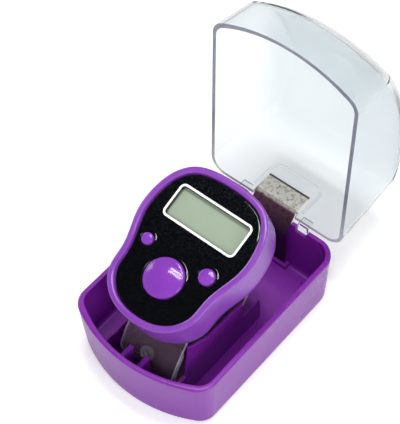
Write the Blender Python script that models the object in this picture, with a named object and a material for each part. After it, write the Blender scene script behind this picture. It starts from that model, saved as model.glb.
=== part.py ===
"""Digital finger counter in its flip-top case, modelled as separate pieces in metres with +Z up.

The case lies with its flat underside on z = 0 and its curved front towards -Y. The lid stands open
about a hinge line along X behind the rear rim, held there by a bent steel leaf spring. The counter
sits in the case on its finger strap, tilted up towards the rear.
"""
import math

import bmesh
import bpy
import numpy as np

MM = 0.001
GAP = 0.3 * MM                      # clearance between neighbouring pieces

# Case tray
TRAY_HALF_WIDTH = 23.0 * MM
TRAY_REAR = 28.5 * MM
TRAY_FRONT = -28.5 * MM             # where the straight sides end and the front bow begins
TRAY_BOW = 6.7 * MM                 # how far the front bulges past its corners
TRAY_REAR_RADIUS = 6.5 * MM
TRAY_FRONT_RADIUS = 6.0 * MM
TRAY_HEIGHT = 19.0 * MM
TRAY_WALL = 1.5 * MM
TRAY_FLOOR = 1.5 * MM
TRAY_DRAFT = 1.0 * MM               # how far the walls lean in from rim to base
TRAY_EDGE_RADIUS = 1.6 * MM

# Walls moulded on the tray floor to keep the counter centred, low at both ends and tall between
CRADLE_INNER = 11.0 * MM
CRADLE_WALL = 1.3 * MM
CRADLE_SWELL = 0.05 * MM            # how much thicker the tall part is on each side
CRADLE_LOW = 10.0 * MM
CRADLE_REAR = 6.9 * MM
CRADLE_CREST_LEFT = [(-0.8 * MM, 17.0 * MM), (-19.5 * MM, 18.2 * MM)]
CRADLE_CREST_RIGHT = [(-0.8 * MM, 17.0 * MM), (-15.6 * MM, 18.2 * MM), (-22.6 * MM, 22.5 * MM),
                      (-24.4 * MM, CRADLE_LOW)]
FRONT_RIB_X = 2.8 * MM
FRONT_RIB_WALL = 1.3 * MM
FRONT_RIB_TOP = 15.6 * MM
FRONT_RIB_REAR = -28.4 * MM

# Lid, whose rim stands a little inside the tray's
LID_SIDE_STEP = 0.1 * MM
LID_END_STEP = 0.3 * MM
LID_BOW_STEP = 0.2 * MM
LID_HALF_WIDTH = TRAY_HALF_WIDTH - LID_SIDE_STEP
LID_REAR = TRAY_REAR - LID_END_STEP
LID_FRONT = TRAY_FRONT + LID_END_STEP
LID_BOW = TRAY_BOW - LID_BOW_STEP
LID_CORNER_RADIUS = 5.2 * MM
LID_WALL = 1.1 * MM
LID_SHOULDER_RADIUS = 4.6 * MM
LID_FRONT_HEIGHT = 13.5 * MM        # heights above the rim, along the roof's middle
LID_PEAK_HEIGHT = 31.0 * MM
LID_REAR_HEIGHT = 28.0 * MM
LID_PEAK_AT = 0.72                  # place of the roof's peak along the lid, front 0 to rear 1
LID_ARCH = 1.9                      # exponent of the roof's arch in front of its peak
LID_OPEN_ANGLE = math.radians(92.0)
HINGE_STEP = 0.1 * MM               # hinge line behind the tray's rear wall
HINGE_LIFT = 0.15 * MM              # and above its rim
HINGE_Y = TRAY_REAR + HINGE_STEP
HINGE_Z = TRAY_HEIGHT + HINGE_LIFT
LUG_X = 10.5 * MM
LUG_WIDTH = 3.2 * MM
LUG_LENGTH = 1.1 * MM
LUG_ROOT = 1.5 * MM                 # how far a lug runs up inside the lid
LID_GATE = 1.7 * MM                 # depth of the notch in the lid's rear rim for the spring

# Leaf spring between tray and lid, and the frame of ribs round its upper leg
SPRING_X = -0.45 * MM
SPRING_WIDTH = 13.9 * MM
SPRING_SHEET = 0.4 * MM
SPRING_CREASE_BACK = 1.6 * MM       # crease behind and above the hinge line
SPRING_CREASE_UP = 2.35 * MM
SPRING_REACH = 7.5 * MM             # upper leg's end behind the hinge line
SPRING_FLAT = 4.6 * MM              # length of the upper leg that lies flat in its frame
SPRING_DROP = 3.9 * MM              # lower leg turns down this far below the rim
SPRING_LOW_END = 5.0 * MM
SPRING_SLOT_REAR = TRAY_REAR - TRAY_WALL - TRAY_DRAFT
SPRING_SLOT_FLOOR = 1.5 * MM        # above the tray's floor
SPRING_POCKET_WALL = 1.2 * MM
SPRING_POCKET_TOP = 10.5 * MM
SPRING_GATE = 3.0 * MM              # depth of the notch in the tray's rear wall for the spring
FRAME_RIB = 1.0 * MM
FRAME_MARGIN = 0.9 * MM             # room beside the spring
FRAME_SPARE = 4.3 * MM              # and past its end
FRAME_START = 2.3 * MM              # open end, above the hinge line with the lid closed
FRAME_RADIUS = 2.4 * MM
FRAME_RISE = 0.4 * MM               # how far the ribs stand above the sheet

# Place and tilt of the counter: its panel's surface, in the middle of the display
PANEL_Y = 0.0
PANEL_Z = 43.5 * MM
PANEL_TILT = math.radians(20.2)

# Outline of the counter's housing, right half, rear to front, about the middle of the display
HOUSING_OUTLINE = [
    (0.0, 12.2 * MM), (6.0 * MM, 11.8 * MM), (11.6 * MM, 10.0 * MM), (15.7 * MM, 5.4 * MM),
    (17.6 * MM, -1.2 * MM), (17.5 * MM, -7.6 * MM), (15.8 * MM, -13.3 * MM), (14.7 * MM, -18.0 * MM),
    (14.2 * MM, -23.4 * MM), (11.3 * MM, -28.3 * MM), (6.2 * MM, -31.4 * MM), (0.0, -32.3 * MM)]
BEZEL_WIDTH = 1.8 * MM
BEZEL_RISE = 0.85 * MM
BEZEL_ROUND = 0.55 * MM             # radius of its outer edge
BEZEL_CHAMFER = 0.15 * MM           # of its inner edge
BEZEL_SLOPE = 0.12 * MM             # fall of its flat top from inner to outer edge
PANEL_THICKNESS = 1.2 * MM
DECK_THICKNESS = 1.2 * MM
SKIRT_WALL = 1.0 * MM
SEAM_DEPTH = 4.5 * MM               # parting line between the two shells, below the panel
LIP_WALL = 0.6 * MM
LIP_HEIGHT = 0.8 * MM
SHELL_WALL = 1.4 * MM
SHELL_FLOOR = 1.8 * MM
SHELL_DEPTH = 15.0 * MM
SHELL_ROUND_WIDTH = 5.0 * MM
SHELL_ROUND_HEIGHT = 6.2 * MM

# Display
WINDOW_WIDTH = 22.2 * MM
WINDOW_DEPTH = 8.6 * MM
WINDOW_RADIUS = 0.9 * MM
LCD_END_BORDER = 1.9 * MM           # how far the glass reaches past the window at its ends
LCD_SIDE_BORDER = 1.1 * MM
LCD_WIDTH = WINDOW_WIDTH + 2 * LCD_END_BORDER
LCD_DEPTH = WINDOW_DEPTH + 2 * LCD_SIDE_BORDER
LCD_THICKNESS = 1.8 * MM
GUIDE_MARGIN = 2.0 * MM             # how far guide and connector stop short of the glass's ends
GUIDE_WIDTH = LCD_WIDTH - 2 * GUIDE_MARGIN
GUIDE_THICKNESS = 1.2 * MM
ZEBRA_WIDTH = GUIDE_WIDTH
ZEBRA_DEPTH = 1.8 * MM

# Buttons: place across and along the panel, radius, dome height
COUNT_PLACE = (0.0, -18.6 * MM)
COUNT_RADIUS = 5.6 * MM
COUNT_DOME = 1.9 * MM
RESET_PLACE = (-10.2 * MM, -12.6 * MM)
RESET_RADIUS = 1.7 * MM
RESET_DOME = 1.1 * MM
LIGHT_PLACE = (9.4 * MM, -12.3 * MM)
LIGHT_RADIUS = 2.3 * MM
LIGHT_DOME = 1.2 * MM
BUTTON_TRAVEL = 0.6 * MM
BUTTON_FLANGE = 0.7 * MM            # how far a button's flange reaches past its cap
BUTTON_CLEARANCE = 0.35 * MM
WELL_CHAMFER = 0.3 * MM

# Circuit board and what it carries
BOARD_TOP = -6.3 * MM
BOARD_THICKNESS = 0.8 * MM
SWITCH_RADIUS = 1.7 * MM
SWITCH_HEIGHT = 1.1 * MM
PLUNGER_RADIUS = 0.8 * MM
CHIP_RADIUS = 2.1 * MM
CHIP_PLACE = (0.0, -8.4 * MM)
LED_SIZE = (0.9 * MM, 1.6 * MM, 1.3 * MM)

# Battery
CELL_RADIUS = 5.8 * MM
CELL_THICKNESS = 3.05 * MM
CELL_V = -7.8 * MM
CELL_WALL = 0.9 * MM
LEAF_REACH = 4.6 * MM               # contact leaf's fixed end from the cell's centre
LEAF_BEND = 1.8 * MM
DOOR_WIDTH = 15.0 * MM
DOOR_REAR = -0.6 * MM
DOOR_FRONT = -17.8 * MM
DOOR_THICKNESS = 1.0 * MM
DOOR_RADIUS = 1.6 * MM
DOOR_SCREW_V = -15.7 * MM

# Screws
SCREW_PLACES = [(-12.8 * MM, -7.9 * MM), (12.8 * MM, -7.9 * MM), (-7.6 * MM, -25.2 * MM),
                (7.6 * MM, -25.2 * MM)]
SCREW_RADIUS = 0.65 * MM
HEAD_RADIUS = 1.15 * MM
HEAD_HEIGHT = 0.9 * MM
HEAD_DEPTH = 3.6 * MM               # how deep the heads sit above the underside
BOSS_WALL = 0.65 * MM

# Finger strap: a band in two halves that overlap at the front, joined by a stud in a hole
STRAP_THICKNESS = 1.0 * MM
STRAP_WIDTH = 18.4 * MM
STRAP_NOSE_WIDTH = 14.0 * MM        # a little before the end of a half
STRAP_END_WIDTH = 10.0 * MM
STRAP_TAB_WIDTH = 9.2 * MM          # where the band passes into the shell
STRAP_SHOULDER = 1.3 * MM           # length over which the tab widens to the full band
STRAP_FRONT_SLOT = -26.0 * MM
STRAP_REAR_SLOT = 6.6 * MM
STRAP_BEAD = 0.8 * MM               # how far the bead inside the shell stands out from the band
STRAP_BEAD_HEIGHT = 1.4 * MM
STUD_Z = 10.9 * MM
STUD_RADIUS = 2.15 * MM
STUD_NECK = 1.2 * MM
STUD_HEIGHT = 0.8 * MM
STRAP_TAIL = 6.0 * MM               # length of each half past the stud
STRAP_NOSE = 2.4 * MM               # length of a tail's rounded end
STRAP_JOGGLE = 8.0 * MM             # length over which the inner half steps in under the outer
STRAP_EDGE = 0.25 * MM              # chamfer along the band
STRAP_SPACING = 1.3 * MM            # between sections along the band

# The hanging band's course: along Y, and height above its lowest run on the tray's floor
STRAP_COURSE = [
    (-20.2 * MM, 15.1 * MM), (-22.4 * MM, 12.2 * MM), (-25.1 * MM, 8.3 * MM), (-26.5 * MM, 5.1 * MM),
    (-25.8 * MM, 2.0 * MM), (-22.6 * MM, 0.3 * MM), (-16.0 * MM, 0.0), (-9.0 * MM, 0.1 * MM),
    (-3.4 * MM, 1.3 * MM), (1.2 * MM, 4.3 * MM), (4.9 * MM, 7.9 * MM), (9.8 * MM, 14.1 * MM),
    (12.6 * MM, 20.3 * MM), (12.9 * MM, 25.1 * MM)]

CORNER_STEPS = 5
ROUND_STEPS = 32
OUTLINE_STEPS = 48


def remove_everything():
    """Empty the file the script runs in."""
    for item in list(bpy.data.objects):
        bpy.data.objects.remove(item, do_unlink=True)


def material(name, colour, roughness, metallic=0.0, alpha=1.0):
    """A Principled material with an sRGB colour given as a hex string."""
    found = bpy.data.materials.get(name)
    if found:
        return found
    made = bpy.data.materials.new(name)
    made.use_nodes = True
    shader = made.node_tree.nodes["Principled BSDF"]
    channels = [int(colour[i:i + 2], 16) / 255 for i in (0, 2, 4)]
    linear = [c / 12.92 if c <= 0.04045 else ((c + 0.055) / 1.055) ** 2.4 for c in channels]
    shader.inputs["Base Color"].default_value = (*linear, 1.0)
    shader.inputs["Roughness"].default_value = roughness
    shader.inputs["Metallic"].default_value = metallic
    shader.inputs["Alpha"].default_value = alpha
    return made


def add_object(name, verts, faces, finish=None, parent=None, place=(0, 0, 0), cutter=False):
    """One mesh object with outward faces, smooth where its surface is round."""
    mesh = bpy.data.meshes.new(name)
    mesh.from_pydata([tuple(v) for v in verts], [], faces)
    work = bmesh.new()
    work.from_mesh(mesh)
    bmesh.ops.remove_doubles(work, verts=work.verts, dist=1e-7)
    bmesh.ops.recalc_face_normals(work, faces=work.faces)
    work.to_mesh(mesh)
    work.free()
    item = bpy.data.objects.new(name, mesh)
    bpy.context.collection.objects.link(item)
    item.parent = parent
    item.location = place
    if cutter:
        item.hide_render = True
        item.display_type = "WIRE"
    else:
        mesh.materials.append(finish)
        mesh.shade_smooth()
        mesh.set_sharp_from_angle(angle=math.radians(35))
    return item


def add_empty(name, place, turn):
    """A frame turned about X that pieces are parented to."""
    empty = bpy.data.objects.new(name, None)
    bpy.context.collection.objects.link(empty)
    empty.location = place
    empty.rotation_euler = (turn, 0, 0)
    return empty


def combine(item, other, operation):
    """Leave a Boolean modifier on item that adds or cuts other."""
    modifier = item.modifiers.new(other.name, "BOOLEAN")
    modifier.operation = operation
    modifier.solver = "EXACT"
    modifier.object = other
    other.hide_render = True
    other.display_type = "WIRE"


def loft(rings, capped=True):
    """Vertices and faces of a skin through rings of equal point counts, capped or closed on itself."""
    count = len(rings[0])
    verts = [tuple(point) for ring in rings for point in ring]
    faces = []
    for r in range(len(rings) if not capped else len(rings) - 1):
        low, high = r * count, ((r + 1) % len(rings)) * count
        for i in range(count):
            j = (i + 1) % count
            faces.append((low + i, low + j, high + j, high + i))
    if capped:
        faces.append(tuple(range(count - 1, -1, -1)))
        faces.append(tuple(range((len(rings) - 1) * count, len(rings) * count)))
    return verts, faces


def turned(profile, steps=ROUND_STEPS):
    """A solid of revolution about Z from (radius, height) points, both ends closed by flat faces."""
    angles = np.arange(steps) * 2 * math.pi / steps
    rings = [[(r * math.cos(a), r * math.sin(a), z) for a in angles] for r, z in profile]
    return loft(rings)


def block(x0, x1, y0, y1, z0, z1, lean=0.0):
    """A plain block between two corners; its front face may lean forwards by a distance at the top."""
    rings = [[(x0, y, z), (x1, y, z), (x1, y1, z), (x0, y1, z)] for y, z in ((y0, z0), (y0 - lean, z1))]
    return loft(rings)


def slab(x0, x1, outline):
    """A flat wall between two places across, cut to an outline of (y, z) points."""
    return loft([[(x, y, z) for y, z in outline] for x in (x0, x1)])


def rounded_block(x0, x1, y0, y1, z0, z1, radius, steps=4):
    """A block with its four upright edges rounded."""
    corners = [(x1 - radius, y1 - radius, 0), (x0 + radius, y1 - radius, 1),
               (x0 + radius, y0 + radius, 2), (x1 - radius, y0 + radius, 3)]
    plan = []
    for cx, cy, quarter in corners:
        for step in range(steps + 1):
            a = (quarter + step / steps) * math.pi / 2
            plan.append((cx + radius * math.cos(a), cy + radius * math.sin(a)))
    return loft([[(x, y, z) for x, y in plan] for z in (z0, z1)])


def rounded_plaque(x0, x1, y0, y1, z0, z1, radius):
    """A block with its four edges along Y rounded."""
    verts, faces = rounded_block(x0, x1, z0, z1, y0, y1, radius)
    return [(x, y, z) for x, z, y in verts], faces


def case_plan(half_width, rear, front, bow, rear_radius, front_radius, side_steps=5, bow_steps=12):
    """Plan of tray and lid: straight sides and rear, rounded corners and a front bowed as an arc."""
    big = (half_width ** 2 + bow ** 2) / (2 * bow)
    centre = front - bow + big
    cx = half_width - front_radius
    cy = centre - math.sqrt((big - front_radius) ** 2 - cx ** 2)
    meet = math.atan2(cy - centre, cx)
    quarter = np.linspace(0, math.pi / 2, CORNER_STEPS)
    turn = np.linspace(0, meet, CORNER_STEPS)
    bend = np.linspace(meet, -math.pi - meet, bow_steps + 1)[1:-1]
    right_rear = [(half_width - rear_radius + rear_radius * math.cos(a),
                   rear - rear_radius + rear_radius * math.sin(a)) for a in quarter]
    right_front = [(cx + front_radius * math.cos(a), cy + front_radius * math.sin(a)) for a in turn]
    side = [(half_width, y) for y in np.linspace(rear - rear_radius, cy, side_steps + 1)[1:-1]]
    back = [(x, rear) for x in np.linspace(-(half_width - rear_radius), half_width - rear_radius, 5)[1:-1]]
    arc = [(big * math.cos(a), centre + big * math.sin(a)) for a in bend]
    mirrored = [(-x, y) for x, y in right_front[::-1] + side[::-1] + right_rear]
    return np.array(back + right_rear[::-1] + side + right_front + arc + mirrored)


def closed_spline(points, samples):
    """Evenly spaced points on the smooth closed cubic curve through the given points."""
    knots = np.array(points)
    chord = np.linalg.norm(np.roll(knots, -1, axis=0) - knots, axis=1)
    count = len(knots)
    system, known = np.zeros((count, count)), np.zeros((count, 2))
    for i in range(count):
        before, after = chord[i - 1], chord[i]
        system[i, i - 1] = after
        system[i, i] = 2 * (before + after)
        system[i, (i + 1) % count] = before
        known[i] = 3 * (before * (knots[(i + 1) % count] - knots[i]) / after
                        + after * (knots[i] - knots[i - 1]) / before)
    slope = np.linalg.solve(system, known)
    fine = []
    for i in range(count):
        j, length = (i + 1) % count, chord[i]
        for t in np.linspace(0, 1, 24, endpoint=False):
            fine.append((1 + 2 * t) * (1 - t) ** 2 * knots[i] + t * (1 - t) ** 2 * length * slope[i]
                        + t * t * (3 - 2 * t) * knots[j] + t * t * (t - 1) * length * slope[j])
    fine = np.array(fine + [fine[0]])
    run = np.concatenate([[0], np.cumsum(np.linalg.norm(np.diff(fine, axis=0), axis=1))])
    at = np.linspace(0, run[-1], samples, endpoint=False)
    return np.stack([np.interp(at, run, fine[:, k]) for k in (0, 1)], axis=1)


def inset(outline, distance):
    """The outline moved inwards by a distance along its normals."""
    along = np.roll(outline, -1, axis=0) - np.roll(outline, 1, axis=0)
    along /= np.linalg.norm(along, axis=1)[:, None]
    inward = np.stack([-along[:, 1], along[:, 0]], axis=1)
    turn = np.sum(outline * np.roll(np.roll(outline, -1, axis=0), 1, axis=1) * [1, -1])
    return outline + inward * distance * (1 if turn > 0 else -1)


def at_height(plan, z):
    """Plan points lifted to a height, or to a height for each point."""
    return np.column_stack([plan, np.broadcast_to(z, len(plan))])


def tray_plan(shrink):
    """The tray's plan, moved in all round."""
    return case_plan(TRAY_HALF_WIDTH - shrink, TRAY_REAR - shrink, TRAY_FRONT + shrink, TRAY_BOW,
                     max(TRAY_REAR_RADIUS - shrink, 0.5 * MM), max(TRAY_FRONT_RADIUS - shrink, 0.5 * MM))


def build_tray(purple):
    """Case tray: an open moulded tray with cradle walls, front ribs and a seat for the spring."""
    lean = TRAY_DRAFT / TRAY_HEIGHT
    rings = []
    for angle in np.linspace(math.pi / 2, 0, 4):
        z = TRAY_EDGE_RADIUS * (1 - math.sin(angle))
        extra = TRAY_EDGE_RADIUS * (1 - math.cos(angle))
        rings.append(at_height(tray_plan(TRAY_DRAFT - lean * z + extra), z))
    rings.append(at_height(tray_plan(0.15 * MM), TRAY_HEIGHT - 0.2 * MM))
    rings.append(at_height(tray_plan(0.3 * MM), TRAY_HEIGHT))
    rings.append(at_height(tray_plan(TRAY_WALL), TRAY_HEIGHT))
    rings.append(at_height(tray_plan(TRAY_WALL + TRAY_DRAFT * 0.9), TRAY_FLOOR + 1.2 * MM))
    rings.append(at_height(tray_plan(TRAY_WALL + TRAY_DRAFT + 0.9 * MM), TRAY_FLOOR))
    tray = add_object("base_tray", *loft(rings), finish=purple)

    root = TRAY_FLOOR * 0.5
    inside_front = TRAY_FRONT - TRAY_BOW + TRAY_WALL * 0.6 + TRAY_DRAFT - lean * root
    notch_front = TRAY_REAR - 2 * TRAY_WALL - TRAY_DRAFT
    outer = CRADLE_INNER + CRADLE_WALL
    for side, crest in ((-1, CRADLE_CREST_LEFT), (1, CRADLE_CREST_RIGHT)):
        near, far = sorted((side * CRADLE_INNER, side * outer))
        bow_here = TRAY_BOW * (outer / TRAY_HALF_WIDTH) ** 2
        low = add_object(f"cradle_low_{side}", *block(near, far, inside_front + bow_here, CRADLE_REAR, root,
                                                      CRADLE_LOW, lean * (CRADLE_LOW - root)), cutter=True)
        profile = [(crest[0][0], root)] + crest + [(crest[-1][0], root)]
        tall = add_object(f"cradle_tall_{side}", *slab(near - CRADLE_SWELL, far + CRADLE_SWELL, profile),
                          cutter=True)
        rib_near, rib_far = sorted((side * (FRONT_RIB_X - FRONT_RIB_WALL / 2),
                                    side * (FRONT_RIB_X + FRONT_RIB_WALL / 2)))
        rib = add_object(f"front_rib_{side}", *block(rib_near, rib_far, inside_front, FRONT_RIB_REAR, root,
                                                     FRONT_RIB_TOP, lean * (FRONT_RIB_TOP - root)), cutter=True)
        for piece in (low, tall, rib):
            combine(tray, piece, "UNION")
        notch_near, notch_far = sorted((side * (LUG_X - LUG_WIDTH / 2 - GAP),
                                        side * (LUG_X + LUG_WIDTH / 2 + GAP)))
        reach = math.hypot(LUG_LENGTH + HINGE_LIFT, HINGE_Y - LID_REAR + LID_WALL) + GAP
        notch = add_object(f"lug_notch_{side}", *block(notch_near, notch_far, notch_front,
                                                       TRAY_REAR + 2 * MM, HINGE_Z - reach,
                                                       TRAY_HEIGHT + 2 * MM), cutter=True)
        combine(tray, notch, "DIFFERENCE")

    half = SPRING_WIDTH / 2 + GAP
    gate = add_object("spring_gate", *block(SPRING_X - half, SPRING_X + half, notch_front, TRAY_REAR + 2 * MM,
                                            TRAY_HEIGHT - SPRING_GATE, TRAY_HEIGHT + 2 * MM), cutter=True)
    combine(tray, gate, "DIFFERENCE")
    slot_front = SPRING_SLOT_REAR - SPRING_SHEET - 2 * GAP
    pocket = add_object("spring_pocket", *block(SPRING_X - half - SPRING_POCKET_WALL,
                                                SPRING_X + half + SPRING_POCKET_WALL,
                                                slot_front - SPRING_POCKET_WALL, TRAY_REAR - TRAY_WALL * 0.8,
                                                root, SPRING_POCKET_TOP), cutter=True)
    combine(tray, pocket, "UNION")
    slot = add_object("spring_slot", *block(SPRING_X - half, SPRING_X + half, slot_front, SPRING_SLOT_REAR,
                                            TRAY_FLOOR + SPRING_SLOT_FLOOR, TRAY_HEIGHT), cutter=True)
    combine(tray, slot, "DIFFERENCE")
    return tray


def roof_height(share):
    """Height of the lid's roof above the rim, front edge 0 to rear edge 1: an arch with its peak aft."""
    share = np.asarray(share, dtype=float)
    front = np.clip(share / LID_PEAK_AT, 0, 1)
    rear = np.clip((share - LID_PEAK_AT) / (1 - LID_PEAK_AT), 0, 1)
    rise = LID_PEAK_HEIGHT - (LID_PEAK_HEIGHT - LID_FRONT_HEIGHT) * (1 - front) ** LID_ARCH
    return rise - (LID_PEAK_HEIGHT - LID_REAR_HEIGHT) * rear ** 2


def lid_rings(wall):
    """Rings of the lid's skin from the rim to the roof, moved inwards by the wall's thickness."""
    bends = np.linspace(0, math.pi / 2, 5)
    steps = [(0.0, 0.0), (0.6 * MM, 0.55)]
    for bend in bends:
        steps.append((1.0 * MM + LID_SHOULDER_RADIUS * (1 - math.cos(bend)), 0.84 + 0.16 * math.sin(bend)))
    for share in (0.41, 0.62, 0.82, 0.985):
        steps.append((share * (LID_HALF_WIDTH - wall), 1.0))
    rings = []
    for shrink, share in steps:
        scale = (LID_HALF_WIDTH - shrink) / LID_HALF_WIDTH
        half = LID_HALF_WIDTH - wall - shrink
        corner = min(max((LID_CORNER_RADIUS - wall) * scale, 0.3 * MM), 0.9 * half)
        plan = case_plan(half, LID_REAR - wall - shrink, LID_FRONT + wall + shrink, LID_BOW * scale,
                         corner, corner)
        nose = LID_FRONT - LID_BOW * (1 - np.clip(plan[:, 0] / LID_HALF_WIDTH, -1, 1) ** 2)
        along = np.clip((plan[:, 1] - nose) / (LID_REAR - nose), 0, 1)
        z = np.clip((roof_height(along) - wall) * share, 0, None)
        rings.append(at_height(plan, TRAY_HEIGHT + GAP + z))
    return rings


def build_lid(clear, hinge):
    """Clear lid: a thin crowned shell with two lugs at its rear rim and a rib frame for the spring."""
    shift = np.array([0, HINGE_Y, HINGE_Z])
    outer = [ring - shift for ring in lid_rings(0.0)]
    inner = [ring - shift for ring in lid_rings(LID_WALL)]
    lid = add_object("lid", *loft(outer[::-1] + inner), finish=clear, parent=hinge)
    rim = TRAY_HEIGHT + GAP - HINGE_Z
    back = LID_REAR - HINGE_Y
    for side in (-1, 1):
        near, far = sorted((side * (LUG_X - LUG_WIDTH / 2), side * (LUG_X + LUG_WIDTH / 2)))
        lug = add_object(f"lid_lug_{side}", *block(near, far, back - LID_WALL, back - 0.1 * MM,
                                                   rim - LUG_LENGTH, rim + LUG_ROOT),
                         parent=hinge, cutter=True)
        combine(lid, lug, "UNION")
    half = SPRING_WIDTH / 2 + FRAME_MARGIN
    end = SPRING_REACH + FRAME_SPARE
    face = back - LID_WALL
    height = SPRING_SHEET + 2 * GAP + FRAME_RISE
    frame = add_object("spring_frame", *rounded_plaque(SPRING_X - half - FRAME_RIB, SPRING_X + half + FRAME_RIB,
                                                       face - height, face + LID_WALL * 0.6,
                                                       FRAME_START - FRAME_RADIUS, end + FRAME_RIB,
                                                       FRAME_RADIUS + FRAME_RIB), parent=hinge, cutter=True)
    trim = add_object("frame_trim", *block(SPRING_X - 2 * half, SPRING_X + 2 * half, face - 2 * height,
                                           face + LID_WALL, -2 * FRAME_RADIUS, FRAME_START),
                      parent=hinge, cutter=True)
    combine(frame, trim, "DIFFERENCE")
    combine(lid, frame, "UNION")
    hollow = add_object("frame_hollow", *rounded_plaque(SPRING_X - half, SPRING_X + half,
                                                        face - height - 1 * MM, face - 0.06 * MM,
                                                        -FRAME_RADIUS, end, FRAME_RADIUS),
                        parent=hinge, cutter=True)
    combine(lid, hollow, "DIFFERENCE")
    gate_half = SPRING_WIDTH / 2 + GAP
    gate = add_object("lid_gate", *block(SPRING_X - gate_half, SPRING_X + gate_half, face - 1 * MM,
                                         back + 1 * MM, rim - 1 * MM, rim + LID_GATE),
                      parent=hinge, cutter=True)
    combine(lid, gate, "DIFFERENCE")
    return lid


def bent_sheet(path, width, thickness):
    """A strip of even width along a path in the YZ plane, given its middle line."""
    path = np.array(path)
    along = np.gradient(path, axis=0)
    along /= np.linalg.norm(along, axis=1)[:, None]
    normal = np.stack([-along[:, 1], along[:, 0]], axis=1)
    rings = []
    for point, side in zip(path, normal):
        low, high = point - side * thickness / 2, point + side * thickness / 2
        rings.append([(-width / 2, *low), (width / 2, *low), (width / 2, *high), (-width / 2, *high)])
    return loft(rings)


def rounded_path(corners, radius, steps=5):
    """Points of a bent line with its inner corners rounded."""
    corners = [np.array(c) for c in corners]
    points = [corners[0]]
    for before, corner, after in zip(corners, corners[1:], corners[2:]):
        start, end = before - corner, after - corner
        start /= np.linalg.norm(start)
        end /= np.linalg.norm(end)
        reach = radius / math.tan(math.acos(np.clip(start @ end, -1, 1)) / 2)
        for t in np.linspace(0, 1, steps):
            points.append((1 - t) ** 2 * (corner + start * reach) + 2 * t * (1 - t) * corner
                          + t * t * (corner + end * reach))
    return points + [corners[-1]]


def build_spring(steel):
    """Leaf spring: one leg in the lid's frame, one in the tray's pocket, creased behind the rim."""
    lid_face = HINGE_Z - (LID_REAR - LID_WALL - HINGE_Y)
    rest = lid_face + GAP + SPRING_SHEET / 2
    lane = SPRING_SLOT_REAR - GAP - SPRING_SHEET / 2
    end = HINGE_Y + SPRING_REACH
    corners = [(end, rest + 0.1 * MM), (end - SPRING_FLAT, rest + 0.2 * MM),
               (HINGE_Y + SPRING_CREASE_BACK, HINGE_Z + SPRING_CREASE_UP),
               (lane, TRAY_HEIGHT - SPRING_DROP), (lane, SPRING_LOW_END)]
    path = rounded_path(corners, SPRING_SHEET)
    return add_object("snap_spring", *bent_sheet(path, SPRING_WIDTH, SPRING_SHEET), finish=steel,
                      place=(SPRING_X, 0, 0))


def housing_outline():
    """The counter's pear-shaped outline as one smooth closed curve, the same on both sides."""
    right = HOUSING_OUTLINE
    left = [(-u, v) for u, v in right[1:-1]][::-1]
    return closed_spline(right + left, OUTLINE_STEPS)


def housing_rings(profile):
    """Rings that follow the housing's outline, from (inset, height) points."""
    outline = housing_outline()
    return [at_height(inset(outline, distance), z) for distance, z in profile]


def screw_boss(name, place, radius, low, high, frame):
    """A round post at a place on the panel's plane."""
    return add_object(name, *turned([(radius, low), (radius, high)], 20), parent=frame,
                      place=(place[0], place[1], 0), cutter=True)


def build_upper_shell(purple, frame):
    """Upper shell: raised flat bezel, a deck under the panel with its cut-outs, and four bosses."""
    deck_top = -PANEL_THICKNESS - GAP
    deck_low = deck_top - DECK_THICKNESS
    profile = [(BEZEL_WIDTH, deck_top), (BEZEL_WIDTH, BEZEL_RISE - BEZEL_CHAMFER),
               (BEZEL_WIDTH - BEZEL_CHAMFER, BEZEL_RISE)]
    for angle in np.linspace(math.pi / 2, 0, 5):
        profile.append((BEZEL_ROUND * (1 - math.cos(angle)),
                        BEZEL_RISE - BEZEL_SLOPE - BEZEL_ROUND * (1 - math.sin(angle))))
    profile += [(0, -SEAM_DEPTH), (SKIRT_WALL, -SEAM_DEPTH), (SKIRT_WALL, deck_low)]
    shell = add_object("upper_shell", *loft(housing_rings(profile)), finish=purple, parent=frame)

    boss_radius = SCREW_RADIUS + GAP + BOSS_WALL
    boss_low = BOARD_TOP + GAP
    for index, place in enumerate(SCREW_PLACES):
        boss = screw_boss(f"upper_boss_{index}", place, boss_radius, boss_low, deck_top - 0.4 * MM, frame)
        combine(shell, boss, "UNION")
        bore = screw_boss(f"upper_bore_{index}", place, SCREW_RADIUS + GAP, boss_low - 1 * MM,
                          deck_low + 0.3 * MM, frame)
        combine(shell, bore, "DIFFERENCE")
    half_w, half_d = LCD_WIDTH / 2 + GAP, LCD_DEPTH / 2 + GAP
    opening = add_object("lcd_opening", *block(-half_w, half_w, -half_d, half_d, deck_low - 1 * MM,
                                               deck_top + 1 * MM), parent=frame, cutter=True)
    combine(shell, opening, "DIFFERENCE")
    for name, place, radius in button_list():
        hole = screw_boss(f"{name}_deck_hole", place, radius + BUTTON_CLEARANCE, deck_low - 1 * MM,
                          deck_top + 1 * MM, frame)
        combine(shell, hole, "DIFFERENCE")
    return shell


def button_list():
    """Name, place and radius of each button."""
    return [("count", COUNT_PLACE, COUNT_RADIUS), ("reset", RESET_PLACE, RESET_RADIUS),
            ("light", LIGHT_PLACE, LIGHT_RADIUS)]


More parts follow.
